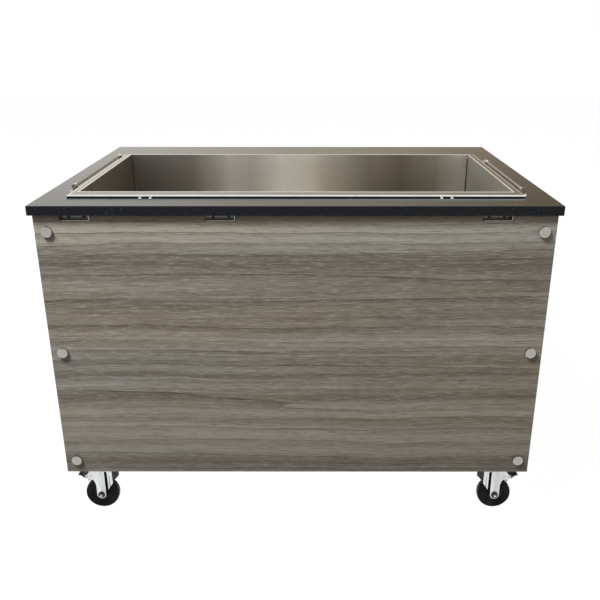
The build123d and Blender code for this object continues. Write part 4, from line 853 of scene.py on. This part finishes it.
CROWN_OUTLINE = mm([(6.05, 129.7), (20, 129.7), (22, 129.2), (27, 129.2), (29, 129.7), (31.6, 129.6),
                    (32.7, 128.9), (33, 127.8), (33, 126.6), (32.4, 125.8), (31.2, 125.5), (6.05, 125.5)])
RACE_OUTLINE = mm([(0, 138.5), (34, 138.5), (34.4, 137.4), (33.2, 134.4), (31, 132), (29.6, 130.4),
                   (27, 130), (6, 130), (6, 125.2), (9.6, 125.2), (10, 124.6), (10, 122),
                   (9.4, 121.2), (0, 121.2)])
WHEEL_HALF = mm([(4.05, 14), (12.6, 14), (13.6, 13.5), (14, 12.6), (14, 8.6), (16, 8), (18, 8.9),
                 (19.6, 8), (22.4, 7.9), (24.2, 9.3), (26, 8.2), (28.6, 8.3), (30, 10), (31.8, 11.1),
                 (33.6, 10.5), (34.8, 11.6), (36.4, 11.7), (37.6, 10.8), (39.6, 11.4), (41.8, 11),
                 (43.3, 9.4), (44.1, 7), (44.5, 3.8)])
BOLT_END = mm([(0, 7.2), (1.6, 7), (2.6, 6.2), (2.8, 5), (2.8, 0), (0, 0)])
WASHER = mm([(4.1, 0), (9.2, 0), (9.6, 0.3), (9.6, 0.9), (9.2, 1.2), (4.1, 1.2)])
BOLT_WASHER = mm([(4.1, 0), (8, 0), (8.2, 0.4), (8, 1), (4.1, 1)])
BOLT_SHANK = mm([(0, -0.8), (4, -0.8), (4, 9.5), (0, 9.5)])
PLATE_SIZE = (0.1, 0.08, 0.0034)
PLATE_Z = 0.1403
BOLT_STEPS = ((-0.04, -0.03), (-0.04, 0.03), (0.04, -0.03), (0.04, 0.03))
BOLT_Z = 0.1384


def make_fork(word, x, y, side):
    """A stamped fork: a crown, and on each side a flanged blade, two wings and a gusset made dark as painted
    shade.
    """
    whole = bmesh.new()
    shaded_webs = bmesh.new()
    place = caster_place(x, y, side)
    for way in (-1, 1):
        for outline in (BLADE, NEAR_WING, FAR_WING):
            add_upright(whole, outline, place, way * LEG_Y, 0.003, 0.0007)
        # Painted shade: the gussets are dark plates that stand in for the shade under the crown
        add_upright(shaded_webs, GUSSET, place, way * GUSSET_Y, 0.002, 0.0005)
        for outline in (FLANGE, SHOULDER):
            add_upright(whole, outline, place, way * RAISED_Y, 0.0012, 0.0005)
    bridge = place @ facing((0, 0, 0.1262), UP, TO_RIGHT)
    add_plate(whole, mm([(54.5, -18), (54.5, 18), (15.5, 18), (15.5, -18)]), bridge, 0.003, 0.0006)
    add_turned(whole, CROWN_OUTLINE, (x, y, 0), UP, 48, closed=True)
    piece(word + "_fork_stamping", whole, ZINC, [word + "_fork"], body=word + "_swivel")
    piece(word + "_fork_gussets_painted_shade", shaded_webs, BLACKENED, body=word + "_swivel")


def make_wheel(word, x, y, side):
    """A black wheel with stepped rings on both sides."""
    whole = bmesh.new()
    outline = WHEEL_HALF + [(radius, -height) for radius, height in reversed(WHEEL_HALF)]
    add_turned(whole, outline, (x + side * TRAIL, y, WHEEL_R), TO_REAR, 72, closed=True)
    wheel = word + "_wheel"
    piece(wheel + "_tyre", whole, WHEEL_RUBBER, [wheel], body=wheel, crease=28)


def make_axle(word, x, y, side):
    """An axle bolt with washers and nuts, and bright rounded ends."""
    bolt = bmesh.new()
    nuts = bmesh.new()
    axle_x = x + side * TRAIL
    shank = mm([(0, -19), (4, -19), (4, 19), (0, 19)])
    add_turned(bolt, shank, (axle_x, y, WHEEL_R), TO_REAR, 24)
    for way in (-1, 1):
        outer = y + way * 0.018
        add_turned(bolt, BOLT_END, (axle_x, outer, WHEEL_R), (0, way, 0), 24)
        add_turned(nuts, WASHER, (axle_x, outer, WHEEL_R), (0, way, 0), 32, closed=True)
        add_hexagon(nuts, (axle_x, outer + way * 0.0011, WHEEL_R), (0, way, 0), 0.013, 0.004, 0.0008)
    piece(word + "_axle_bolt", bolt, BRIGHT_STEEL, [word + "_axle"], body=word + "_swivel")
    piece(word + "_axle_nuts", nuts, NUT_STEEL, body=word + "_swivel")


TREAD = mm([(61, 103.4), (69, 102.2), (76.5, 101.6), (80, 102.6), (83.5, 103.6), (86.4, 102.8), (88, 100.8),
            (87.2, 100), (85.6, 101.2), (83.2, 101.6), (80.2, 100.4), (76.5, 97.8), (72.5, 93.8), (69, 91.2),
            (63, 92), (61, 95)])
PEDAL_EAR = mm([(47.2, 111), (44.8, 106), (44.6, 96), (48, 91.6), (54, 88.6), (60, 91), (66.4, 92.6),
                (68.6, 97), (67.4, 102), (62, 104.8), (58.4, 109.4), (54, 111.6)])
SHOE_BLOCK = mm([(49.4, 93.4), (60.6, 91.6), (61.6, 84.4), (57.6, 85.6), (52.6, 89.4)])


def make_pedal(word, x, y, side):
    """A pressed pedal: dark lever with a curled tip, bright ears, pin, rivet and shoe."""
    place = caster_place(x, y, side)
    lever = bmesh.new()
    metal = bmesh.new()
    add_upright(lever, TREAD, place, 0, 0.022, 0.0006)
    add_upright(lever, SHOE_BLOCK, place, 0, 0.021, 0.0006)
    sole = mm(arc((27.5, 44.5), 48.9, 49, 68, 8) + arc((27.5, 44.5), 50.6, 68, 49, 8))
    add_upright(metal, sole, place, 0, 0.023, 0.0004)
    pin = mm([(0, 2.4), (2.2, 2.3), (3.8, 1.5), (4.3, 0.4), (4.3, 0), (3, 0), (3, -6), (0, -6)])
    rivet = mm([(0, 2.2), (2.6, 2), (4, 1), (4.4, 0), (4.4, -3), (0, -3)])
    for way in (-1, 1):
        add_upright(metal, PEDAL_EAR, place, way * EAR_Y, 0.0024, 0.0006)
        outwards = place.to_3x3() @ Vector((0, way, 0))
        add_turned(metal, pin, place @ Vector((0.052, way * 0.018, 0.101)), outwards, 24)
        add_turned(metal, rivet, place @ Vector((0.0637, way * 0.0141, 0.098)), outwards, 24)
    pedal = word + "_pedal"
    piece(pedal + "_lever", lever, BLACKENED, [word + "_brake_pedal"], body=pedal)
    piece(pedal + "_shoe", metal, ZINC, body=pedal)


def make_caster_plates():
    """Mounting plates with their races, and the bolts that hold them."""
    plates = bmesh.new()
    bolts = bmesh.new()
    for x, y, side in CASTERS.values():
        corner = bmesh.new()
        bmesh.ops.create_cube(corner, size=1)
        bmesh.ops.scale(corner, vec=PLATE_SIZE, verts=corner.verts)
        tall = [edge for edge in corner.edges if abs(edge.verts[0].co.z - edge.verts[1].co.z) > 0.001]
        soften(corner, tall, 0.009, 5)
        soften(corner, [edge for edge in corner.edges if edge.calc_face_angle() > 0.6], 0.0006)
        into(plates, corner, Matrix.Translation((x, y, PLATE_Z)))
        add_turned(plates, RACE_OUTLINE, (x, y, 0), UP, 48)
        for step_x, step_y in BOLT_STEPS:
            place = (x + step_x, y + step_y, BOLT_Z)
            add_turned(bolts, BOLT_WASHER, place, DOWN, 24, closed=True)
            add_hexagon(bolts, (x + step_x, y + step_y, BOLT_Z - 0.0008), DOWN, 0.013, 0.0056)
            add_turned(bolts, BOLT_SHANK, place, UP, 16)
    piece("caster_plate_races", plates, ZINC, ["caster_plates"])
    piece("caster_plate_bolts", bolts, ZINC, ["plate_bolts"])


make_caster_plates()
for caster_word, caster_spot in CASTERS.items():
    for make_part in (make_fork, make_wheel, make_axle, make_pedal):
        make_part(caster_word, *caster_spot)


# Doors on the operator's side

HANDLE_X = 0.042
HANDLE_MIDDLE = 0.3996
HINGE_X = 0.541
HINGE_Y = 0.389
HINGE_LEVELS = (0.2512, 0.488)
HINGE_LEAF = 0.0015


def make_handle(word, side):
    """A bow handle on two round feet."""
    whole = bmesh.new()
    x = side * HANDLE_X
    low, high = HANDLE_MIDDLE - 0.064, HANDLE_MIDDLE + 0.064
    moves = [0.016, (TO_RIGHT, 90, 0.01), high - low - 0.02, (TO_RIGHT, 90, 0.01), 0.016]
    add_tube(whole, (x, REAR_FACE, low), TO_REAR, 0.005, moves, 20)
    foot = mm([(0, 0), (8.6, 0), (8.8, 0.4), (8.4, 1.6), (7, 2.2), (5, 2.6), (0, 2.6)])
    for z in (low, high):
        add_turned(whole, foot, (x, REAR_FACE, z), TO_REAR, 28)
    piece(word + "_bow_handle", whole, BRIGHT_STEEL, [word + "_door_handle"], body=word + "_door")


def hinge_half(whole, side, towards, bottom, top):
    """Add one leaf with its knuckle and three screws at both hinge levels."""
    x = side * HINGE_X
    way = side * towards
    far = x + way * 0.026
    near = x + way * 0.0043
    face = REAR_FACE + HINGE_LEAF
    head = mm([(0, 0.5), (1, 0.5), (1.2, 1), (2.6, 0.8), (3.2, 0), (0, 0)])
    for z in HINGE_LEVELS:
        add_block(whole, (min(near, far), REAR_FACE, z), (max(near, far), face, z + 0.06), 0.0004)
        low, high = z + bottom, z + top
        add_block(whole, (min(x, near), REAR_FACE, low), (max(x, near) + 0.0001, face, high))
        knuckle = [(0, low), (0.0036, low), (0.004, low + 0.0004)]
        knuckle += [(0.004, high - 0.0004), (0.0036, high), (0, high)]
        add_turned(whole, knuckle, (x, HINGE_Y, 0), UP, 24)
        for step in (0.01, 0.03, 0.05):
            add_turned(whole, head, (x + way * 0.0155, face, z + step), TO_REAR, 20)


def make_hinges():
    """Leaves on the posts and on both doors."""
    fixed = bmesh.new()
    for word, side in SIDES:
        hinge_half(fixed, side, 1, 0, 0.03)
        moving = bmesh.new()
        hinge_half(moving, side, -1, 0.0303, 0.06)
        piece(word + "_door_hinge_leaves", moving, BRIGHT_STEEL, [word + "_door_hinges"], body=word + "_door")
    piece("post_hinge_leaves", fixed, BRIGHT_STEEL, ["post_hinges"])


for side_word, side_way in SIDES:
    make_handle(side_word, side_way)
make_hinges()


# Controls

KNOB_X = -0.12
KNOB_RIBS = 22
RIB_RING = 0.0158
TICK_RING = 0.025
NUMBER_RING = 0.0325
LAMP_X = 0.07


def make_knob():
    """A ribbed knob with a white pointer line."""
    whole = bmesh.new()
    outline = mm([(0, 20), (13.6, 19.9), (14.8, 19.4), (15.6, 18.4), (15.9, 17), (16.2, 6.2), (17.2, 5.2),
                  (20.2, 4.8), (20.9, 4.2), (21, 3.2), (21, 0.4), (20.6, 0), (3, 0), (3, -14.5),
                  (0, -14.5)])
    centre = (KNOB_X, REAR_FACE + 0.002, CONTROL_Z)
    add_turned(whole, outline, centre, TO_REAR, 64)
    rib = mm([(0, 0), (1.1, 0), (1, 10.4), (0.6, 11.6), (0, 12)])
    for index in range(KNOB_RIBS):
        angle = math.radians(20 + index * 320 / (KNOB_RIBS - 1))
        across, up = RIB_RING * math.sin(angle), RIB_RING * math.cos(angle)
        add_turned(whole, rib, (KNOB_X + across, REAR_FACE + 0.008, CONTROL_Z + up), TO_REAR, 10)
    low = (KNOB_X - 0.0025, REAR_FACE + 0.0062, CONTROL_Z)
    add_block(whole, low, (KNOB_X + 0.0025, REAR_FACE + 0.0222, CONTROL_Z + 0.0198), 0.0008)
    knob = "thermostat_knob"
    piece("ribbed_knob", whole, BLACK_PLASTIC, [knob], body=knob)
    line = bmesh.new()
    low = (KNOB_X - 0.0007, REAR_FACE + 0.0221, CONTROL_Z + 0.004)
    add_block(line, low, (KNOB_X + 0.0007, REAR_FACE + 0.0224, CONTROL_Z + 0.0192), 0.0001)
    piece("knob_pointer_line", line, WHITE_INK, body=knob)


def make_dial():
    """Printed degrees round the knob, with a tick for each."""
    whole = bmesh.new()
    marks = [(0, "0")] + [(60 + 35 * index, str(30 + 10 * index)) for index in range(7)]
    for angle, words in marks:
        turn = math.radians(angle)
        across, up = -math.sin(turn), math.cos(turn)
        place = (KNOB_X + NUMBER_RING * across, REAR_FACE + 0.0001, CONTROL_Z + NUMBER_RING * up)
        add_words(whole, words, 0.0075, facing(place, TO_REAR, TO_LEFT))
        tick = bmesh.new()
        bmesh.ops.create_cube(tick, size=1)
        bmesh.ops.scale(tick, vec=(0.0007, 0.003, 0.00018), verts=tick.verts)
        tick_place = (KNOB_X + TICK_RING * across, REAR_FACE + 0.0001, CONTROL_Z + TICK_RING * up)
        into(whole, tick, facing(tick_place, TO_REAR, TO_LEFT) @ Matrix.Rotation(-turn, 4, "Z"))
    piece("dial_marks", whole, INK)


def make_rocker():
    """A dished rocker with plain on and off marks."""
    whole = bmesh.new()
    end = (-0.013, REAR_FACE, CONTROL_Z)
    tilt = facing(end, TO_RIGHT, TO_REAR) @ Matrix.Rotation(math.radians(7), 4, "Z")
    outline = mm([(-3, -9), (-3, 9), (3, 9), (2.5, 6), (1.9, 3), (1.6, 0), (1.9, -3), (2.5, -6),
                  (3, -9)])
    add_plate(whole, outline, tilt, 0.026, 0.0005)
    add_turned(whole, mm([(0, -3.4), (1.5, -3.4), (1.5, 29.4), (0, 29.4)]), end, TO_RIGHT, 16)
    piece("rocker_paddle", whole, BLACK_PLASTIC, ["power_rocker"], body="power_rocker")
    marks = bmesh.new()
    for words, z, out in (("I", 0.0054, 0.0016), ("O", -0.0054, 0.003)):
        place = (0, REAR_FACE + out, CONTROL_Z + z)
        add_words(marks, words, 0.0058, facing(place, TO_REAR, TO_LEFT))
    piece("rocker_marks", marks, WHITE_INK, body="power_rocker")


def make_lamp():
    """A domed red lens in a bright bezel."""
    lens = bmesh.new()
    outline = mm([(0, 4.5), (2.6, 4.3), (4.8, 3.6), (6.2, 2.4), (6.8, 0.8), (6.8, 0), (6.8, -10), (0, -10)])
    add_turned(lens, outline, (LAMP_X, REAR_FACE, CONTROL_Z), TO_REAR, 36)
    piece("lamp_lens", lens, LAMP_LENS, ["pilot_lamp"])
    bezel = bmesh.new()
    ring = mm([(6.9, 0), (8.4, 0), (8.5, 0.6), (8.2, 1.6), (7.6, 2), (6.9, 1.9)])
    add_turned(bezel, ring, (LAMP_X, REAR_FACE, CONTROL_Z), TO_REAR, 36, closed=True)
    piece("lamp_bezel", bezel, BRIGHT_STEEL)


make_knob()
make_dial()
make_rocker()
make_lamp()


# Heat and drain

ELEMENT_Z = 0.683
DRAIN_X = 0.38
DRAIN_Y = 0.11
DRAIN_TOP = 0.6353
STEM_Z = 0.6043


def make_element():
    """A heating loop of smooth tube with clip feet."""
    whole = bmesh.new()
    half, tail, bend = 0.44, 0.03, 0.026
    front, rear, wall = -0.246, 0.153, 0.26
    stub, short = wall - rear - bend, half - tail - 2 * bend
    end, long = rear - front - 2 * bend, 2 * (half - bend)
    left, right = (UP, 90, bend), (UP, -90, bend)
    moves = [stub, right, short, left, end, left, long, left, end, left, short, right, stub]
    add_tube(whole, (-tail, wall, ELEMENT_Z), TO_GUESTS, 0.004, moves, 14)
    for x in (-half, half):
        for y in (front + 2 * bend, rear - 2 * bend):
            add_block(whole, (x - 0.003, y - 0.003, TANK_FLOOR), (x + 0.003, y + 0.003, ELEMENT_Z), 0.0005)
            ring = mm([(4, -4), (4.7, -4), (4.7, 4), (4, 4)])
            add_turned(whole, ring, (x, y, ELEMENT_Z), TO_REAR, 20, closed=True)
    piece("element_tube", whole, ELEMENT_STEEL, ["heating_element"])


def make_valve():
    """A brass ball valve with hose ribs, and its lever in a red sleeve."""
    whole = bmesh.new()
    outline = mm([(8, 0), (19.4, 0), (20, -0.8), (20, -13), (19.2, -13.8), (19.4, -15), (20.8, -18),
                  (21, -24), (21, -38), (20.4, -44), (18.4, -48.4), (17.4, -49), (18, -49.8),
                  (18, -61), (17.2, -62), (10.6, -62)])
    for rib in range(4):
        foot = -66 - rib * 7.4
        outline += mm([(9.6, foot), (11, foot - 0.6), (9.8, foot - 6)])
    outline += mm([(9.6, -95), (9, -96), (8, -96)])
    add_turned(whole, outline, (DRAIN_X, DRAIN_Y, DRAIN_TOP), UP, 40, closed=True)
    stem = mm([(0, 0), (8, 0), (8, 13), (7.2, 14), (4, 14.2), (4, 22), (3.4, 22.4), (0, 22.4)])
    add_turned(whole, stem, (DRAIN_X, DRAIN_Y + 0.015, STEM_Z), TO_REAR, 28)
    piece("valve_body", whole, BRASS, ["drain_valve"])
    lever = bmesh.new()
    bar = mm(arc((0, 0), 8.9, 60, 300, 12) + [(12, -6), (32, -6), (32, 6), (12, 6)])
    add_plate(lever, bar, facing((DRAIN_X, 0.1395, STEM_Z), TO_REAR, TO_LEFT), 0.003, 0.0006)
    hub = mm([(4.1, 0), (8.8, 0), (8.8, 5.2), (8.2, 5.8), (4.1, 5.8)])
    add_turned(lever, hub, (DRAIN_X, 0.1394, STEM_Z), TO_REAR, 28, closed=True)
    piece("lever_bar", lever, ZINC, ["valve_lever"], body="valve_lever")
    sleeve = bmesh.new()
    grip = mm([(30, -7.4), (50, -7.9), (70, -7.6), (84, -7.2)] + arc((83, 0), 7.2, -70, 70, 8)
              + [(84, 7.2), (70, 7.6), (50, 7.9), (30, 7.4)])
    add_plate(sleeve, grip, facing((DRAIN_X, 0.139, STEM_Z), TO_REAR, TO_LEFT), 0.0044, 0.0012)
    piece("lever_sleeve", sleeve, RED_SLEEVE, body="valve_lever")


make_element()
make_valve()


# Camera, lights and floor


# The camera's place, its yaw, pitch and roll in degrees, its lens in millimetres and the photo's
# small crop in pixels, all fitted to the counter's corners and edges in the photo
CAMERA_PLACE = (0.03768, -1.99966, 1.22197)
CAMERA_ANGLES = (-0.021, 20.956, 0.022)
CAMERA_LENS = 43.444
PHOTO_WIDTH = 600
CROP_RIGHT = -11.904
CROP_UP = 3.803


def aim_camera():
    """Stand the camera where the photo was taken from, with the small crop as a lens shift."""
    yaw, pitch, roll = (math.radians(angle) for angle in CAMERA_ANGLES)
    forward = Vector((math.sin(yaw) * math.cos(pitch), math.cos(yaw) * math.cos(pitch), -math.sin(pitch)))
    level = Vector((math.cos(yaw), -math.sin(yaw), 0))
    upward = level.cross(forward)
    right = level * math.cos(roll) + upward * math.sin(roll)
    top = upward * math.cos(roll) - level * math.sin(roll)
    lens = bpy.data.cameras.new("camera")
    lens.sensor_width = 36
    lens.sensor_fit = "HORIZONTAL"
    lens.lens = CAMERA_LENS
    lens.shift_x = CROP_RIGHT / PHOTO_WIDTH
    lens.shift_y = CROP_UP / PHOTO_WIDTH
    lens.clip_end = 100
    holder = put("camera", lens)
    turn = Matrix((right, top, -forward)).transposed().to_4x4()
    holder.matrix_world = Matrix.Translation(CAMERA_PLACE) @ turn
    bpy.context.scene.camera = holder


def add_lamp(name, place, target, size, power, colour, mirrored):
    """Add a soft square lamp that points at a target and may show in bright metal."""
    light = bpy.data.lights.new(name, "AREA")
    light.shape = "SQUARE"
    light.size = size
    light.energy = power
    light.color = colour
    holder = put(name, light)
    holder.visible_glossy = mirrored
    aim = Vector(target) - Vector(place)
    holder.matrix_world = Matrix.Translation(place) @ aim.to_track_quat("-Z", "Y").to_matrix().to_4x4()


def seen_rays(net):
    """Give 1 for rays that show the background: camera, mirror and glass rays."""
    rays = net.node("LightPath").outputs
    total = net.plus(rays["Is Camera Ray"], rays["Is Glossy Ray"])
    return net.plus(total, rays["Is Transmission Ray"], clamp=True)


def light_scene():
    """White background, soft world light, two lamps and a floor that is seen as white."""
    world = bpy.data.worlds.new("studio")
    bpy.context.scene.world = world
    world.use_nodes = True
    net = Net(world.node_tree)
    background = world.node_tree.nodes["Background"].inputs
    seen = seen_rays(net)
    aim = net.node("SeparateXYZ", Vector=net.node("TexCoord").outputs["Generated"]).outputs
    ahead = net.span(aim[1], 0, 0.5)
    room = net.ramp(net.node("MapRange", Value=aim[0], From_Min=-0.3, From_Max=0.3).outputs[0], (
        (0.00, rgb(1.25, 1.21, 1.12)), (0.5, rgb(0.88, 0.8, 0.64)), (1.00, rgb(0.46, 0.37, 0.26))))
    mirrored = net.times(net.node("LightPath").outputs["Is Glossy Ray"], ahead)
    plain = net.mix(seen, rgb(0.98, 0.98, 1), rgb(1, 1, 1))
    net.feed(background["Color"], net.mix(mirrored, plain, room))
    net.feed(background["Strength"], net.plus(0.12, net.times(seen, 0.88)))
    add_lamp("key_lamp", (-1.7, -1.75, 3.9), (-0.2, -0.3, 0.7), size=1.2, power=325,
             colour=(0.93, 0.96, 1), mirrored=False)
    add_lamp("fill_lamp", (2.6, -2.4, 2.2), (0.2, 0, 0.6), size=1.8, power=20,
             colour=(1, 0.76, 0.5), mirrored=True)
    floor_material, net, place = finish("floor_finish")
    shade = net.noise(place, (2, 2, 2), 2)
    net.coat(Base_Color=net.mix(shade, rgb(0.07, 0.07, 0.07), rgb(0.09, 0.09, 0.09)), Roughness=0.9,
             Specular_IOR_Level=0, Emission_Color=rgb(1, 1, 1),
             Emission_Strength=net.times(seen_rays(net), 0.98))
    sheet = bmesh.new()
    bmesh.ops.create_grid(sheet, x_segments=2, y_segments=2, size=12)
    mesh = bpy.data.meshes.new("floor")
    sheet.to_mesh(mesh)
    sheet.free()
    mesh.materials.append(floor_material)
    floor = put("floor", mesh)


aim_camera()
light_scene()
bpy.context.scene.view_settings.view_transform = "Standard"
